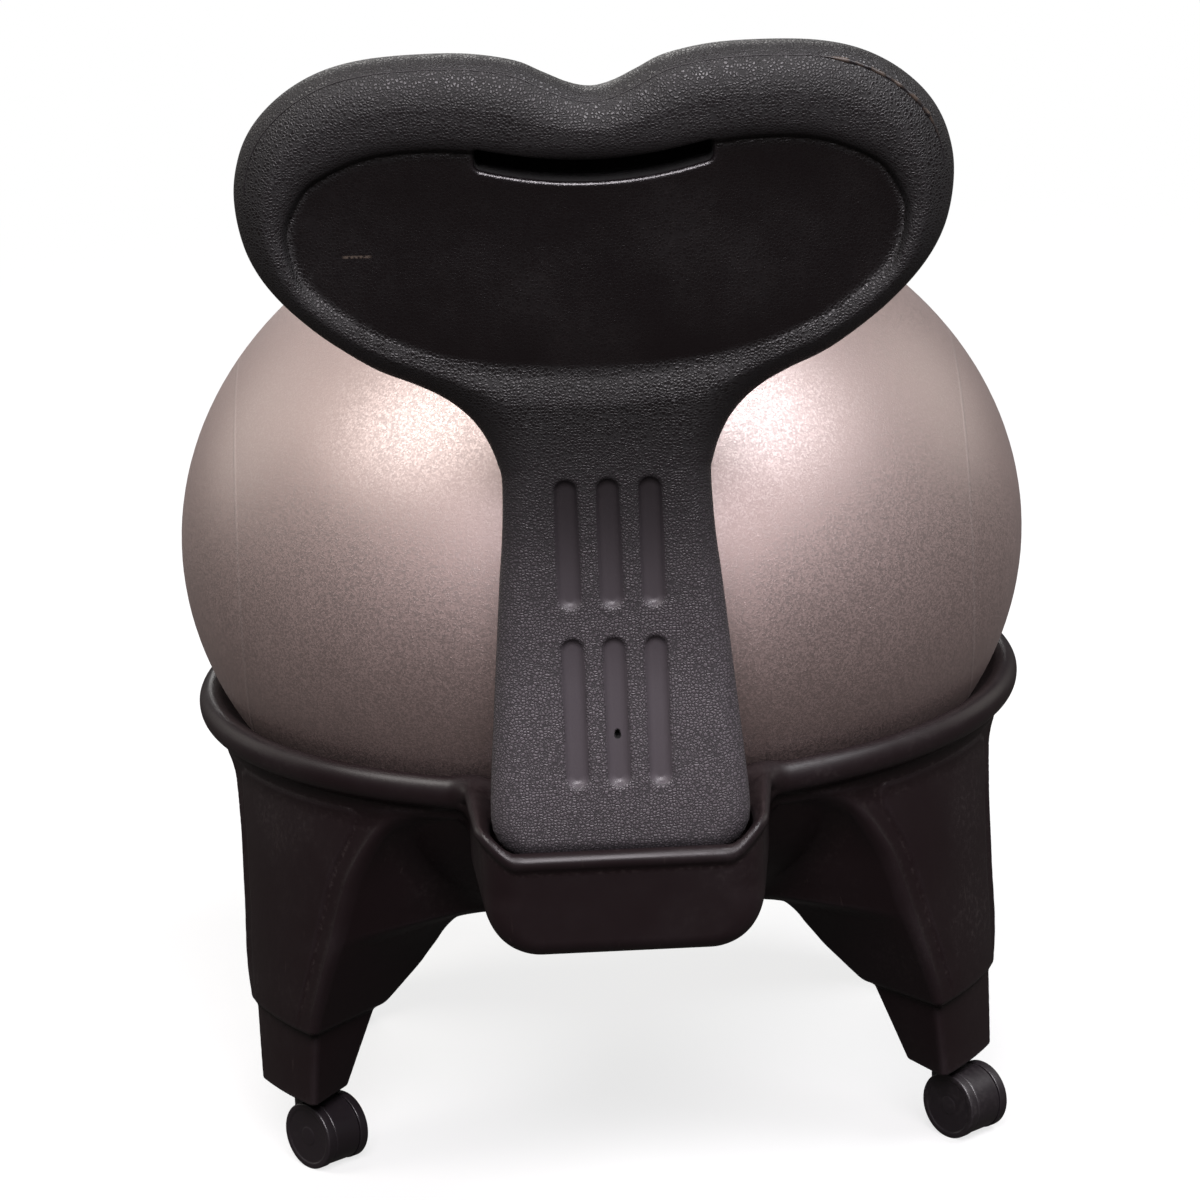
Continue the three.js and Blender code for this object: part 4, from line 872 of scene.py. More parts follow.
def makeWalls():
    s = frameSizes
    step = s["wallStep"]
    heights = np.arange(s["ledge"], s["legTop"] + step / 2, step)
    share = (heights - s["ledge"]) / (s["legTop"] - s["ledge"])
    read = [smoothRead(share, legRows[:, 0], legRows[:, k]) for k in range(1, 7)]
    neck = s["neckRadius"] - s["neckInset"]
    rear, side = mix(neck, s["legRear"], read[4]), mix(neck, s["legSide"], read[4])
    deep = mix(s["neckRadius"], s["legInner"], read[5])
    upper = wallTable(heights, rear, side, deep, read[:4])
    heights = np.arange(footRows[0, 0], footRows[-1, 0] + step / 2, step)
    read = [np.interp(heights, footRows[:, 0], footRows[:, k]) for k in range(1, 8)]
    lower = wallTable(heights, read[4], read[5], read[6], read[:4])
    return upper, lower


ringTable, spaceTable = ringTables()
upperWalls, lowerWalls = makeWalls()


def legSection(ax, ay, z, radius, angle, walls, corner, relief):
    heights, columns = walls
    at = lambda column: np.interp(z, heights, column)
    wall = lambda key: (ax * at(columns[key][0]) + ay * at(columns[key][1]) + at(columns[key][2]))
    rearWall, sideWall = wall("rearWall"), wall("sideWall")
    rearAngle, sideAngle = at(columns["rearAngle"]), at(columns["sideAngle"])
    along = np.clip((angle - rearAngle) / (sideAngle - rearAngle), 0, 1)
    outer = radius - mix(at(columns["rear"]), at(columns["side"]), along)
    if relief is not None:
        outer = outer - relief(rearWall, sideWall, z)
    section = roundMax(roundMax(outer, rearWall, corner), sideWall, corner)
    return roundMax(section, at(columns["deep"]) - radius, corner)


def legRelief(rearWall, sideWall, z):
    s = frameSizes
    edge = roundMax(rearWall + s["panelInset"], sideWall + s["panelSideInset"], s["panelCorner"])
    edge = roundMax(edge, z - s["panelTop"], s["panelTopCorner"])
    share = (z - s["ledge"]) / (s["legTop"] - s["ledge"])
    fade = np.sqrt(np.clip(share / s["panelFade"], 0, 1))
    panel = s["panelRelief"] * fade * easeStep(-edge, 0, s["panelEdge"])
    bead = 0
    for wall in (rearWall, sideWall):
        bead = bead + s["beadHeight"] * np.exp(-((wall + s["beadOffset"]) / s["beadWidth"])**2)
    return panel + bead * easeStep(share, *s["beadFade"])


def tubField(x, y, z):
    s = frameSizes
    length = s["tubRear"] - s["tubFront"]
    forward = np.maximum(0, (s["tubRear"] - y) / length)
    side = (np.abs(x) - s["tubHalf"] - s["tubFlare"] * forward) * s["flareLean"]
    rear = y - s["tubRear"]
    plan = roundMax(side, rear, s["tubPlanRadius"])
    across = roundMax(side, s["tubBase"] - z, s["tubSideRadius"])
    low, high = [s["tubBase"] + rise for rise in s["cornerRise"]]
    corner = mix(s["tubRearRadius"], s["tubPlanRadius"], easeStep(z, low, high))
    body = roundMax(across, rear, corner)
    top = z - s["rimTop"] - s["rimRise"] * forward - s["rimCorner"] * easeStep(np.abs(x), *s["rimSweep"])
    body = np.maximum(body, top + s["rimStep"])
    rim = np.maximum(top, -top - s["rimDepth"])
    rim = roundMax(plan - s["rimReach"], rim, s["rimRound"])
    return np.maximum(roundMin(body, rim, s["rimFillet"]), s["tubFront"] - y)


def frameField(x, y, z, smooth):
    s = frameSizes
    ax, ay = np.abs(x), np.abs(y)
    radius = np.sqrt(x * x + y * y)
    angle = np.degrees(np.arctan2(ax, ay))
    upper = legSection(ax, ay, z, radius, angle, upperWalls, s["legCorner"], legRelief)
    upper = np.maximum(roundMax(upper, s["ledge"] - z, s["ledgeRound"]), z - s["legTop"])
    lower = legSection(ax, ay, z, radius, angle, lowerWalls, s["footCorner"], None)
    lower = roundMax(lower, s["footBottom"] - z, s["footRound"])
    lower = np.maximum(lower, z - s["ledge"] - s["footOverlap"])
    solid = roundMin(upper, lower, s["footJoin"])
    solid = roundMin(solid, tubField(x, y, z), s["tubJoin"])
    solid = roundMax(solid, -readTable(spaceTable, radius, z, smooth), s["seatRound"])
    solid = roundMin(solid, readTable(ringTable, radius, z, smooth), s["ringJoin"])
    deep = y - s["postMiddle"]
    pocket = roundMax(ax - s["pocketHalf"], np.abs(deep) - s["pocketThick"], s["pocketRadius"])
    solid = roundMax(solid, -np.maximum(pocket, s["pocketFloor"] - z), s["pocketRound"])
    tenon = np.maximum(np.maximum(ax - s["tenonHalf"], np.abs(deep) - s["tenonThick"]), s["tenonEnd"] - z)
    solid = np.maximum(solid, -tenon)
    bolt = np.sqrt((ax - s["boltSpot"])**2 + deep**2)
    solid = np.maximum(solid, -np.maximum(bolt - s["headHole"], z - s["headTop"]))
    solid = np.maximum(solid, -np.maximum(bolt - s["shankHole"], z - s["shankTop"]))
    stem = np.sqrt((ax - s["stemSpot"][0])**2 + (ay - s["stemSpot"][1])**2) - s["sleeveRadius"]
    return np.maximum(solid, -np.maximum(stem, z - s["sleeveTop"]))


seatShape = mouldShape(frameField, frameField, frameSizes)
pieceFrom("seatFrame", seatShape, "frame", "frame_plastic", ["base"])

# Backrest: heart-shaped upper part and post, rolled rim, recess, hand hold and grooves
backSizes = {
    "halfWidth": 209.6, "top": 754.7, "neckLine": 495, "neckHalf": 62, "postHalf": 78.3, "foot": 258,
    "footRadius": 26, "half": 23, "middle": 322, "lean": 36, "wrap": 14, "wrapFull": 0.4,
    "rollAcross": 32, "rollDeep": 20, "frontRoll": 21, "postRoll": 15, "rollRise": (459, 573), "postThin": 5,
    "recessHalf": 180, "recessTop": 697, "recessLow": 565, "recessDepth": 14, "recessShallow": 5,
    "recessBevel": 21, "recessFull": 0.85, "recessSteep": 0.75, "recessRound": 4.5, "bevelChange": (0.1, 0.6),
    "holdHalf": 69, "holdTall": 12.4, "holdMiddle": 684, "holdRise": 10, "holdDepth": 26, "holdRound": 3,
    "grooveWidth": 14.6, "grooveDepth": 4.6, "grooveLean": 0.55, "grooveSteep": 0.86, "groovePitch": 25,
    "grooveRound": 1.5, "grooveFloorRound": 2, "grooveRows": ((498, 82), (398, 93)),  # top and length
    "ventSpot": 336, "ventRadius": 1.6, "ventStretch": 0.45, "ventDepth": 6,
    "tenonHalf": 62, "tenonThick": 19, "tenonEnd": 214, "tenonTop": 275, "tenonRadius": 22,
    "boltSpot": 28, "boltHole": 4.3, "boltDepth": 30,
    "table": ((-4, 200), (222, 770), 1.0),
    "grid": ((0, -26, 210), (213, 27, 758), 1.4), "triangles": 192000, "bendRadius": 4.0,
}
backShares = [
    (0, 0.914), (0.06, 0.924), (0.13, 0.95), (0.205, 0.978), (0.33, 0.997), (0.47, 1), (0.62, 0.992),
    (0.738, 0.969), (0.838, 0.927), (0.919, 0.869), (0.971, 0.804), (0.998, 0.727), (1, 0.654),
    (0.983, 0.577), (0.952, 0.515), (0.905, 0.458), (0.843, 0.404), (0.762, 0.348), (0.638, 0.281),
    (0.529, 0.242), (0.457, 0.212), (0.4, 0.177), (0.355, 0.135), (0.324, 0.088), (0.305, 0.042),
]
postShares = [
    (0, 0), (0.14, 0.08), (0.28, 0.28), (0.42, 0.46), (0.56, 0.64), (0.72, 0.84), (0.84, 0.98), (0.91, 1),
]
recessShares = [
    (0, 0.95), (0.2, 0.965), (0.38, 1), (0.56, 1.015), (0.73, 0.99), (0.88, 0.905), (0.955, 0.81),
    (1, 0.645), (0.955, 0.44), (0.84, 0.295), (0.7, 0.175), (0.49, 0.07), (0.26, 0.02), (0, 0),
]
# Each of the next six holds places, then the values there
leanShares = (0, 0.22, 0.36, 0.48, 0.58, 0.69, 0.85, 1), (0, 0, 0.1, 0.26, 0.44, 0.64, 0.86, 1)
hollowRows = (258, 300, 420, 455, 560, 620), (0, 0.06, 0.9, 1, 0.12, 0)
bevelShares = ((0, 0.07, 0.175, 0.295, 0.44, 0.645, 0.78, 0.905, 1),
               (0.95, 0.95, 1, 1.05, 1.1, 1.15, 1.15, 1.15, 1.15))
roundedShares = (0, 0.5, 0.8, 0.93, 1), (0, 0.12, 0.36, 0.64, 1)
gentleShares = (0, 0.1, 0.3, 0.5, 0.7, 0.9, 1), (0, 0.2, 0.36, 0.5, 0.64, 0.8, 1)
rubbedShares = (0, 0.03, 0.1, 0.3, 0.45, 0.6, 1), (0.2, 0.75, 1, 0.75, 0.25, 0, 0)


def mirrored(half):
    return half + [(-x, z) for x, z in half[::-1] if x > 0]


def backOutline():
    s = backSizes
    half = [(a * s["halfWidth"], mix(s["neckLine"], s["top"], b)) for a, b in backShares]
    half += [(mix(s["neckHalf"], s["postHalf"], b), mix(s["neckLine"], s["foot"], a)) for a, b in postShares]
    upper = smoothLine(mirrored(half)[len(half):] + half, 7)
    corner = []
    for share in np.linspace(0, 1, 7):
        turn = math.pi / 2 * share
        corner.append((s["postHalf"] - s["footRadius"] * (1 - math.cos(turn)),
                       s["foot"] + s["footRadius"] * (1 - math.sin(turn))))
    return np.array([*upper, *corner, *[(-x, z) for x, z in corner[::-1]]])


def makeBackTables():
    s = backSizes
    recess = [(a * s["recessHalf"], mix(s["recessLow"], s["recessTop"], b)) for a, b in recessShares]
    outlines = backOutline(), smoothLine(mirrored(recess), 8, closed=True)
    return [makeTable(outline, *s["table"]) for outline in outlines]


outerTable, recessTable = makeBackTables()


# The post is a little hollowed behind, so its foot faces up and the neck faces down
def postHollow(t, z):
    s = backSizes
    return s["postThin"] * smoothRead(z, *hollowRows) * np.clip(t / s["half"], 0, 1)


# The shell before anything is pressed into it, with one roll behind and another in front
def paddedShell(outer, t, z):
    s = backSizes
    high = easeStep(z, *s["rollRise"])
    across, deep = mix(s["postRoll"], s["rollAcross"], high), mix(s["postRoll"], s["rollDeep"], high)
    front = mix(s["postRoll"], s["frontRoll"], high)
    u = np.maximum(1 + outer / across, 0)
    v = np.maximum(1 + (t - s["half"]) / deep, 0)
    rolled = np.sqrt(u * u + v * v)
    scale = (u * u * across + v * v * deep) / np.maximum(u * u + v * v, 1e-6)
    rear = np.where(rolled > 0.02, (rolled - 1) * scale, np.maximum(outer, t - s["half"]))
    return np.maximum(rear, roundMax(outer, -t - s["half"], front))


# The recess is shallow at its lower edge; upwards its bevel turns from gentle to rounded
def recessHollow(ax, t, z, smooth):
    s = backSizes
    edge = readTable(recessTable, ax, z, smooth)
    share = (z - s["recessLow"]) / (s["recessTop"] - s["recessLow"])
    depth = mix(s["recessShallow"], s["recessDepth"], easeStep(share, 0, s["recessFull"]))
    floor = s["half"] - depth
    height = (t - floor) / depth
    gentle, rounded = smoothRead(height, *gentleShares), smoothRead(height, *roundedShares)
    climb = mix(gentle, rounded, easeStep(share, *s["bevelChange"]))
    reach = np.interp(share, *bevelShares) * s["recessBevel"] * climb
    return np.maximum((edge - reach) * s["recessSteep"], floor - t)


def holdHollow(ax, t, z):
    s = backSizes
    half = s["holdTall"] / 2
    upper = s["holdMiddle"] + half + s["holdRise"] * (ax / s["holdHalf"])**2
    slot = roundMax(np.abs(z - upper + half) - half, ax - s["holdHalf"], s["holdRound"])
    return np.maximum(slot, s["half"] - s["recessDepth"] - s["holdDepth"] - t)


# Distance from the middle line of the nearest groove
def grooveColumn(ax):
    return np.minimum(ax, np.abs(ax - backSizes["groovePitch"]))


# One row of upright grooves, with flat floors and sloping sides
def grooveHollow(ax, t, z, top, length):
    s = backSizes
    radius, below = s["grooveWidth"] / 2, s["half"] - t
    away = np.maximum(np.maximum(z - top + radius, top - length + radius - z), 0)
    flank = (np.sqrt(grooveColumn(ax)**2 + away**2) - radius + s["grooveLean"] * below) * s["grooveSteep"]
    return roundMax(flank, below - s["grooveDepth"], s["grooveFloorRound"])


def ventHole(ax, t, z):
    s = backSizes
    drop = np.maximum(z - s["ventSpot"], 0) * s["ventStretch"]
    vent = np.sqrt(ax**2 + (z - s["ventSpot"] - drop)**2) - s["ventRadius"]
    return np.maximum(vent, s["half"] - s["grooveDepth"] - s["ventDepth"] - t)


def addTenon(solid, ax, t, z):
    s = backSizes
    tenon = np.maximum(roundMax(ax - s["tenonHalf"], s["tenonEnd"] - z, s["tenonRadius"]), z - s["tenonTop"])
    solid = np.minimum(solid, np.maximum(tenon, np.abs(t) - s["tenonThick"]))
    bolt = np.sqrt((ax - s["boltSpot"])**2 + t**2) - s["boltHole"]
    return np.maximum(solid, -np.maximum(bolt, z - s["tenonEnd"] - s["boltDepth"]))


# The backrest before it leans: t is its depth, above zero behind
def backFlat(x, t, z, smooth):
    s = backSizes
    ax = np.abs(x)
    outer = readTable(outerTable, ax, z, smooth)
    t = t + postHollow(t, z)
    solid = roundMax(paddedShell(outer, t, z), -recessHollow(ax, t, z, smooth), s["recessRound"])
    solid = roundMax(solid, -holdHollow(ax, t, z), s["holdRound"])
    for top, length in s["grooveRows"]:
        solid = roundMax(solid, -grooveHollow(ax, t, z, top, length), s["grooveRound"])
    return addTenon(np.maximum(solid, -ventHole(ax, t, z)), ax, t, z)


def backLean(x, z):
    s = backSizes
    lean = s["lean"] * smoothRead((z - s["foot"]) / (s["top"] - s["foot"]), *leanShares)
    full = mix(s["neckLine"], s["top"], s["wrapFull"])
    return s["middle"] + lean - s["wrap"] * (x / s["halfWidth"])**2 * easeStep(z, s["neckLine"], full)


def backPlaced(x, y, z, smooth):
    return backFlat(x, y - backLean(x, z), z, smooth)


def leanPoints(points):
    moved = points.copy()
    moved[:, 1] += backLean(points[:, 0], points[:, 2])
    return moved


def depthOf(points):
    return points[:, 1] - backLean(points[:, 0], points[:, 2])


# Where the grain stops and where the hand hold turns dark
maskSizes = {
    "recessEdge": (-2, 5), "recessBare": 0.8, "grooveBare": 0.95, "grooveLip": 1.2, "grooveTop": 500,
    "footEdge": 1, "holdShade": (0.6, 3), "holdFloor": -19, "holdSide": 2, "holdBelow": 14, "holdAbove": 24,
}


def inRecess(points):
    edge = readTable(recessTable, np.abs(points[:, 0]), points[:, 2], True)
    return easeStep(-edge, *maskSizes["recessEdge"]) * (depthOf(points) > 0)


# How much of the leather grain a spot carries: full on rim and post, less in recess and grooves
def backGrain(points):
    s, m = backSizes, maskSizes
    ax, t, z = np.abs(points[:, 0]), depthOf(points), points[:, 2]
    t = t + postHollow(t, z)
    grooved = (grooveColumn(ax) < s["grooveWidth"] / 2) & (z < m["grooveTop"])
    grooved &= (t > 0) & (t < s["half"] - m["grooveLip"])
    share = np.clip(1 - m["recessBare"] * inRecess(points) - m["grooveBare"] * grooved, 0, 1)
    return share * (z > s["foot"] - m["footEdge"])


# The post's rear is painted paler, most of all low down: partly rubbed pale by legs and hands, partly a
# painted highlight
def postRubAndHighlight(points):
    s = backSizes
    height = (points[:, 2] - s["foot"]) / (s["top"] - s["foot"])
    return smoothRead(height, *rubbedShares) * (depthOf(points) > 0)


# The unlit inside of the hand hold
def backCavityShade(points):
    s, m = backSizes, maskSizes
    t, z = depthOf(points), points[:, 2]
    within = (t > m["holdFloor"]) & (np.abs(points[:, 0]) < s["holdHalf"] + m["holdSide"])
    within &= (z > s["holdMiddle"] - m["holdBelow"]) & (z < s["holdMiddle"] + m["holdAbove"])
    return easeStep(s["half"] - s["recessDepth"] - t, *m["holdShade"]) * within


backShape = mouldShape(backFlat, backPlaced, backSizes, leanPoints)
spots = backShape["points"]
backShape["masks"].update(grain=backGrain(spots), recess=inRecess(spots), rubbed=postRubAndHighlight(spots),
                          cavity=backCavityShade(spots))
pieceFrom("backrestShell", backShape, "frame", "back_plastic", ["backrest"])


# The last nodes of a piece's tree: instances made real, then its material
def endShape(part, finish):
    real = put("GeometryNodeRealizeInstances", {"Geometry": part})
    dressed = put("GeometryNodeSetMaterial", {"Geometry": real, "Material": finish})
    addNode("NodeGroupOutput", {"Part": dressed})
    return bench["tree"]


# Geometry Nodes tree that turns a profile round an axis, as on a lathe
def buildTurning():
    given = startGroup("turnedPart", "GeometryNodeTree", {
        "Profile": "Geometry", "Rows": 8, "Steps": 48, "Merge distance": 0.000004, "Finish": "Material"},
        {"Part": "Geometry"})
    count = given["Steps"] + 1.0
    grid = put("GeometryNodeMeshGrid", {"Vertices X": count, "Vertices Y": given["Rows"]}, "Mesh")
    index = put("GeometryNodeInputIndex")
    column = calc("FLOOR", calc("DIVIDE", index + 0.5, given["Rows"]))
    row = index - column * given["Rows"]
    read = put("GeometryNodeSampleIndex", {"Geometry": given["Profile"], "Index": row,
               "Value": put("GeometryNodeInputPosition")}, "Value", data_type="FLOAT_VECTOR")
    point = wiresOf(addNode("ShaderNodeSeparateXYZ", {0: read}))
    turn = calc("DIVIDE", column, given["Steps"]) * (2 * math.pi)
    spot = put("ShaderNodeCombineXYZ", {
        0: point["X"] * calc("COSINE", turn), 1: point["X"] * calc("SINE", turn), 2: point["Z"]})
    moved = put("GeometryNodeSetPosition", {"Geometry": grid, "Position": spot})
    joined = put("GeometryNodeMergeByDistance", {"Geometry": moved, "Distance": given["Merge distance"]})
    return endShape(joined, given["Finish"])


turning = buildTurning()


# Sets a modifier's inputs by their sockets' identifiers, bakes it and takes it off again
def bake(piece, tree, values):
    modifier = piece.modifiers.new("shape", "NODES")
    modifier.node_group = tree
    for item in tree.interface.items_tree:
        if item.item_type == "SOCKET" and item.in_out == "INPUT" and item.name in values:
            modifier[item.identifier] = values[item.name]
    mesh = bpy.data.meshes.new_from_object(piece.evaluated_get(bpy.context.evaluated_depsgraph_get()))
    piece.modifiers.remove(modifier)
    old, piece.data = piece.data, mesh
    bpy.data.meshes.remove(old)
    mesh.name = piece.name
    return mesh


# A piece that is still a bare line through points, ready for its tree
def linePiece(name, points):
    mesh = bpy.data.meshes.new(name)
    mesh.from_pydata(points, [(i, i + 1) for i in range(len(points) - 1)], [])
    return addObject(name, mesh)


# Rounds the corners of a profile of (radius, height) pairs; a third number is the corner's radius
def roundProfile(corners):
    rows = []
    for i, corner in enumerate(corners):
        spot = np.array(corner[:2], float)
        bevel = corner[2] if len(corner) > 2 else 0
        if not bevel:
            rows.append(spot)
            continue
        before = np.array(corners[i - 1][:2], float) - spot
        after = np.array(corners[(i + 1) % len(corners)][:2], float) - spot
        a = spot + before / np.linalg.norm(before) * bevel
        c = spot + after / np.linalg.norm(after) * bevel
        for t in np.linspace(0, 1, 5):
            rows.append((1 - t)**2 * a + 2 * t * (1 - t) * spot + t**2 * c)
    return np.array(rows)


# One turned piece. Its axis is Z until frameOf lays it where it belongs
def turnedPiece(name, corners, steps, frameOf, body, slot, replaced, closed=False, carve=None):
    rows = roundProfile(corners)
    if closed:
        rows = np.vstack([rows, rows[:1]])
    piece = linePiece(name, [(r * mm, 0, z * mm) for r, z in rows])
    mesh = bake(piece, turning, {"Rows": len(rows), "Steps": steps, "Finish": finishes[slot]})
    if carve:
        for vertex in mesh.vertices:
            vertex.co = carve(vertex.co)
    mesh.transform(frameOf)
    shadeOutward(mesh)
    mesh.set_sharp_from_angle(angle=math.radians(38))  # rounded corners stay soft
    dress(piece, body, slot, replaced)


def shadeOutward(mesh):
    shape = bmesh.new()
    shape.from_mesh(mesh)
    bmesh.ops.recalc_face_normals(shape, faces=shape.faces)
    if shape.calc_volume(signed=True) < 0:
        bmesh.ops.reverse_faces(shape, faces=shape.faces)
    shape.to_mesh(mesh)
    shape.free()
    markWear(mesh)
    mesh.shade_smooth()


# Edge and hollow masks from how sharply the faces meet at a point
def markWear(mesh):
    shape = bmesh.new()
    shape.from_mesh(mesh)
    bends = np.zeros(len(shape.verts))
    for edge in shape.edges:
        if len(edge.link_faces) == 2:
            turn = edge.calc_face_angle_signed()
            for vertex in edge.verts:
                if abs(turn) > abs(bends[vertex.index]):
                    bends[vertex.index] = turn
    shape.free()
    sharpness = 1.6  # share of a whole edge for each radian of bend
    for name, values in (("edge", bends), ("hollow", -bends)):
        storeMask(mesh, name, np.clip(values * sharpness, 0, 1))


def upright(x, y):
    return Matrix.Translation((x * mm, axisY + y * mm, 0))


# Parting seam over the top of the backrest, rough with flash at one shoulder
seamSizes = {
    "inset": 6.4, "behind": 15, "low": 676, "width": 0.42, "flash": 1.7, "spacing": 1.5, "seed": 7.0,
    "flashFrom": -132, "flashTo": -203, "fadeIn": 12, "fadeOut": 10, "raggedScale": 240.0,
}


def buildSeam():
    given = startGroup("mouldSeam", "GeometryNodeTree", {
        "Path": "Geometry", "Width": 0.0004, "Flash": 0.0012, "Spacing": 0.0015, "Seed": 7.0,
        "Finish": "Material"}, {"Part": "Geometry"})
    line = put("GeometryNodeMeshToCurve", {"Mesh": given["Path"]})
    even = put("GeometryNodeResampleCurve", {"Curve": line, "Length": given["Spacing"]}, mode="LENGTH")
    circle = put("GeometryNodeCurvePrimitiveCircle", {"Resolution": 8, "Radius": given["Width"]})
    swept = put("GeometryNodeCurveToMesh", {"Curve": even, "Profile Curve": circle, "Fill Caps": True})
    place = put("GeometryNodeInputPosition")
    ragged = put("ShaderNodeTexNoise", {"Vector": place, "W": given["Seed"], "Detail": 3.0,
                 "Scale": seamSizes["raggedScale"]}, "Fac", noise_dimensions="4D")
    flash = put("GeometryNodeInputNamedAttribute", {"Name": "flash"}, "Attribute", data_type="FLOAT")
    spread = flash * given["Flash"] * ragged + (ragged - 0.5) * given["Width"]
    outward = put("GeometryNodeInputNormal")
    push = put("ShaderNodeVectorMath", {0: outward, "Scale": spread}, operation="SCALE")
    moved = put("GeometryNodeSetPosition", {"Geometry": swept, "Offset": push})
    return endShape(moved, given["Finish"])


def makeSeam():
    s = seamSizes
    outline = backOutline()
    line = outline[outline[:, 1] > s["low"]]
    along = np.gradient(line, axis=0)
    along /= np.linalg.norm(along, axis=1)[:, None]
    inward = np.stack([along[:, 1], -along[:, 0]], axis=1)
    inward *= np.sign(inward @ np.array([0, -1.0]))[np.argmax(line[:, 1])]
    flat = line + inward * s["inset"]
    points = np.stack([flat[:, 0], backLean(flat[:, 0], flat[:, 1]) + s["behind"], flat[:, 1]], axis=1)
    points = settle(backPlaced, points, 3, 2.0)
    start, end = -s["flashFrom"], -s["flashTo"]
    flash = easeStep(-points[:, 0], start, start + s["fadeIn"])
    flash *= 1 - easeStep(-points[:, 0], end - s["fadeOut"], end)
    piece = linePiece("backSeam", (points * mm + np.array([0, axisY, 0])).tolist())
    storeMask(piece.data, "flash", flash)
    mesh = bake(piece, buildSeam(), {
        "Width": s["width"] * mm, "Flash": s["flash"] * mm, "Spacing": s["spacing"] * mm, "Seed": s["seed"],
        "Finish": finishes["back_plastic"]})
    shadeOutward(mesh)
    dress(piece, "frame", "back_plastic", [])


makeSeam()

# Ball: a thin vinyl shell with a valve hole underneath, and its plug
ballSizes = {
    "radius": 275.9, "halfHeight": 227.95, "centre": 376, "wall": 1.4, "rows": 84, "innerRows": 40,
    "steps": 160, "plugSteps": 40, "hole": 5.2, "boss": 15, "bossHeight": 4.2,
}


def ballCorners():
    s = ballSizes
    start, bossStart = math.asin(s["hole"] / s["radius"]), math.asin((s["boss"] + s["wall"]) / s["radius"])
    outer = [(s["radius"] * math.sin(turn), s["centre"] - s["halfHeight"] * math.cos(turn))
             for turn in np.linspace(start, math.pi, s["rows"])]
    inner = [((s["radius"] - s["wall"]) * math.sin(turn),
              s["centre"] - (s["halfHeight"] - s["wall"]) * math.cos(turn))
             for turn in np.linspace(math.pi, bossStart, s["innerRows"])]
    outer[-1], inner[0] = (0, outer[-1][1]), (0, inner[0][1])
    bossTop = s["centre"] - s["halfHeight"] + s["bossHeight"]
    return [*outer, *inner, (s["boss"], bossTop), (s["hole"], bossTop)]


# The plug's outline: radius, height and corner
plugOutline = [
    (0, 147.7), (2.2, 147.7), (3.2, 147.1, 0.3), (4.4, 146.3, 0.3), (8.4, 146.3, 0.6),
    (8.4, 147.7, 0.3), (4.8, 147.8, 0.2), (4.8, 152.1, 0.3), (3.4, 157.6, 0.4), (0, 157.6),
]
turnedPiece("ballSkin", ballCorners(), ballSizes["steps"], upright(0, 0), "ball", "ball_vinyl", ["ball"],
            closed=True)
turnedPiece("valvePlug", plugOutline, ballSizes["plugSteps"], upright(0, 0), "plug", "plug_plastic",
            ["ball_plug"])
print("ball and plug made")

# Bolts and washers under the tub
boltSizes = {
    "spot": 28, "y": 322, "washerTop": 208.7, "washer": 1.6, "washerRadius": 10, "hole": 4.3, "gap": 0.3,
    "head": 7.2, "headHeight": 5, "headRound": 2.4, "shank": 4, "tip": 0.8, "socket": 3, "socketDepth": 3,
    "end": 243.7, "edge": 0.3, "steps": 48,
}


# Heights of a washer's underside and of the top and underside of a bolt's head
def boltLevels():
    s = boltSizes
    low = s["washerTop"] - s["washer"]
    return low, low - s["gap"], low - s["gap"] - s["headHeight"]


# Presses the round socket of a bolt into six flats
def pressSocket(point):
    s = boltSizes
    radius = math.hypot(point.x, point.y) / mm
    top = boltLevels()[2] + s["socketDepth"]
    if 0.1 < radius < s["socket"] + 0.05 and point.z / mm <= top + 0.1:
        turn = (math.atan2(point.y, point.x) + math.pi / 6) % (math.pi / 3) - math.pi / 6
        share = math.cos(math.pi / 6) / math.cos(turn)
        return Vector((point.x * share, point.y * share, point.z))
    return point


def makeBolt(name, side):
    s = boltSizes
    place, edge = upright(side * s["spot"], s["y"]), s["edge"]
    low, top, under = boltLevels()
    washer = [(s["hole"], low), (s["washerRadius"], low, edge), (s["washerRadius"], s["washerTop"], edge),
              (s["hole"], s["washerTop"])]
    turnedPiece("washer_" + name, washer, s["steps"], place, "frame", "steel", ["back_washer_" + name],
                closed=True)
    bolt = [(0, under + s["socketDepth"]), (s["socket"], under + s["socketDepth"]),
            (s["socket"], under, edge), (s["head"], under, s["headRound"]), (s["head"], top, edge),
            (s["shank"], top, 0.2), (s["shank"], s["end"], s["tip"]), (0, s["end"])]
    turnedPiece("bolt_" + name, bolt, s["steps"], place, "frame", "steel", ["back_bolt_" + name],
                carve=pressSocket)


makeBolt("left", 1)
makeBolt("right", -1)
print("bolts made")

# Casters: sleeve in the leg, stem, hood, axle and two wheels, all turned the same way
casterSizes = {
    "turn": math.radians(42), "trail": 16, "stemX": 207.259, "stemY": 139.798, "gap": 0.3,
    "wheel": 22, "wheelWidth": 6.5, "nearRound": 0.7, "farRound": 1.3,
    "wheelSteps": 72, "sleeveSteps": 56, "stemSteps": 40, "axleSteps": 32,
    "hood": 21.4, "hoodWidth": 20, "hoodRound": 0.9, "hoodJoin": 2.5,
    "boss": 9.6, "bossLow": 13, "bossTop": 45.4, "bossRound": 0.8,
    "axle": 3, "axleEnd": 14.4, "axleRound": 0.4,
    "stem": 5, "stemLow": 16.4, "stemTop": 85.4, "neck": 4, "neckLow": 12, "neckHigh": 8,
    "tip": 3.5, "tipTall": 1.5,
    "foot": 50, "flange": 13, "flangeThick": 3.4, "sleeve": 7.7, "sleeveTop": 88, "sleeveRound": 0.4,
    "grid": ((-11.5, -11.5, -0.8), (11.5, 38.8, 47.2), 0.62), "triangles": 26000, "bendRadius": 1.4,
}
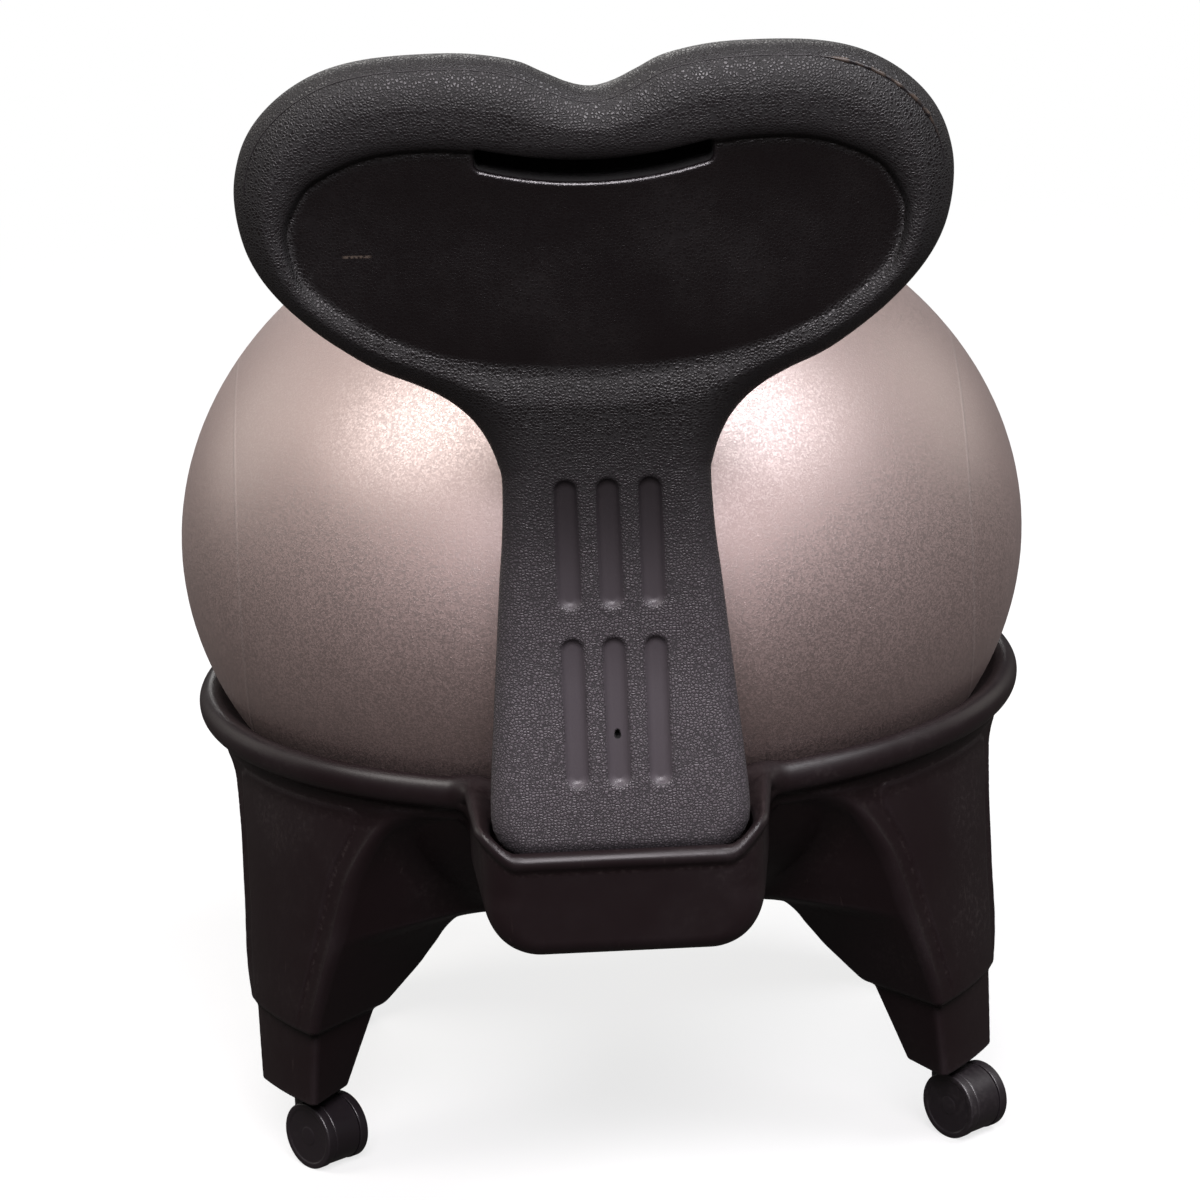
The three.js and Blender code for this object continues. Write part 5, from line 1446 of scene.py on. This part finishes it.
# Faces of a wheel towards the hood and away from it: radius, offset and corner
wheelNear = [(0, 4.4), (3.3, 4.4), (3.3, 0), (8, 0), (8.4, 0.9, 0.3), (17, 0.9, 0.3), (17.6, 0, 0.3)]
wheelFar = [(18.6, 0, 0.6), (17.6, -0.7, 0.5), (6.4, -1, 0.4), (5.6, -0.6, 0.4), (0, -0.5)]


def hoodField(x, y, z, smooth):
    s = casterSizes
    middle = np.sqrt((y - s["trail"])**2 + (z - s["wheel"])**2)
    drum = roundMax(middle - s["hood"], np.abs(x) - s["hoodWidth"] / 2, s["hoodRound"])
    boss = np.sqrt(x * x + y * y) - s["boss"]
    boss = roundMax(boss, np.maximum(s["bossLow"] - z, z - s["bossTop"]), s["bossRound"])
    solid = roundMin(drum, boss, s["hoodJoin"])
    stem = np.sqrt(x * x + y * y) - s["stem"] - s["gap"]
    solid = np.maximum(solid, -np.maximum(stem, s["stemLow"] - s["gap"] - z))
    return np.maximum(solid, s["axle"] + s["gap"] - middle)


hoodShape = mouldShape(hoodField, hoodField, casterSizes)


# Place of a piece that turns on the axle; face 1 looks to one side, face -1 to the other
def layAlongX(face, x, y):
    s = casterSizes
    trail = Matrix.Translation((0, s["trail"] * mm, s["wheel"] * mm))
    place = upright(x, y) @ Matrix.Rotation(s["turn"], 4, "Z") @ trail
    return place @ Matrix.Rotation(face * math.pi / 2, 4, "Y")


def makeSleeve(name, place):
    s = casterSizes
    inner, edge, soft = s["stem"] + s["gap"], s["foot"] - s["gap"], s["sleeveRound"]
    low = edge - s["flangeThick"]
    sleeve = [(inner, low, 0.3), (s["flange"], low, 1.1), (s["flange"], edge, soft), (s["sleeve"], edge),
              (s["sleeve"], s["sleeveTop"], soft), (inner, s["sleeveTop"], soft)]
    turnedPiece("sleeve_ring_" + name, sleeve, s["sleeveSteps"], place, "frame", "caster_plastic",
                ["sleeve_" + name], closed=True)


def makeStem(name, place, own):
    s = casterSizes
    stem, neck, top = s["stem"], s["neck"], s["stemTop"]
    neckLow, neckHigh = top - s["neckLow"], top - s["neckHigh"]
    pin = [(0, s["stemLow"]), (stem, s["stemLow"], 0.5), (stem, neckLow, 0.3), (neck, neckLow, 0.3),
           (neck, neckHigh, 0.3), (stem, neckHigh, 0.3), (stem, top - s["tipTall"], 0.2),
           (s["tip"], top, 0.2), (0, top)]
    turnedPiece("stem_pin_" + name, pin, s["stemSteps"], place, own, "steel", ["stem_" + name])


def makeWheels(name, x, y):
    s = casterSizes
    near = s["hoodWidth"] / 2 + s["gap"]
    far = near + s["wheelWidth"]
    outline = [(radius, near + offset, *corner) for radius, offset, *corner in wheelNear]
    outline += [(s["wheel"], near, s["nearRound"]), (s["wheel"], far, s["farRound"])]
    outline += [(radius, far + offset, *corner) for radius, offset, *corner in wheelFar]
    for face, letter in ((1, "a"), (-1, "b")):
        wheel = name + "_" + letter
        turnedPiece("tread_" + wheel, outline, s["wheelSteps"], layAlongX(face, x, y), "wheel_" + wheel,
                    "caster_plastic", ["wheel_" + wheel])


def makeCaster(name, side, end):
    s = casterSizes
    x, y = side * s["stemX"], end * s["stemY"]
    own = "caster_" + name
    makeSleeve(name, upright(x, y))
    makeStem(name, upright(x, y), own)
    pieceFrom("hood_shell_" + name, hoodShape, own, "caster_plastic", ["hood_" + name], s["turn"], (x, y))
    axle = [(0, -s["axleEnd"]), (s["axle"], -s["axleEnd"], s["axleRound"]),
            (s["axle"], s["axleEnd"], s["axleRound"]), (0, s["axleEnd"])]
    turnedPiece("axle_pin_" + name, axle, s["axleSteps"], layAlongX(1, x, y), own, "steel",
                ["axle_" + name])
    makeWheels(name, x, y)


for end, row in ((1, "rear"), (-1, "front")):
    for side, hand in ((1, "left"), (-1, "right")):
        makeCaster(row + "_" + hand, side, end)
print("casters made")
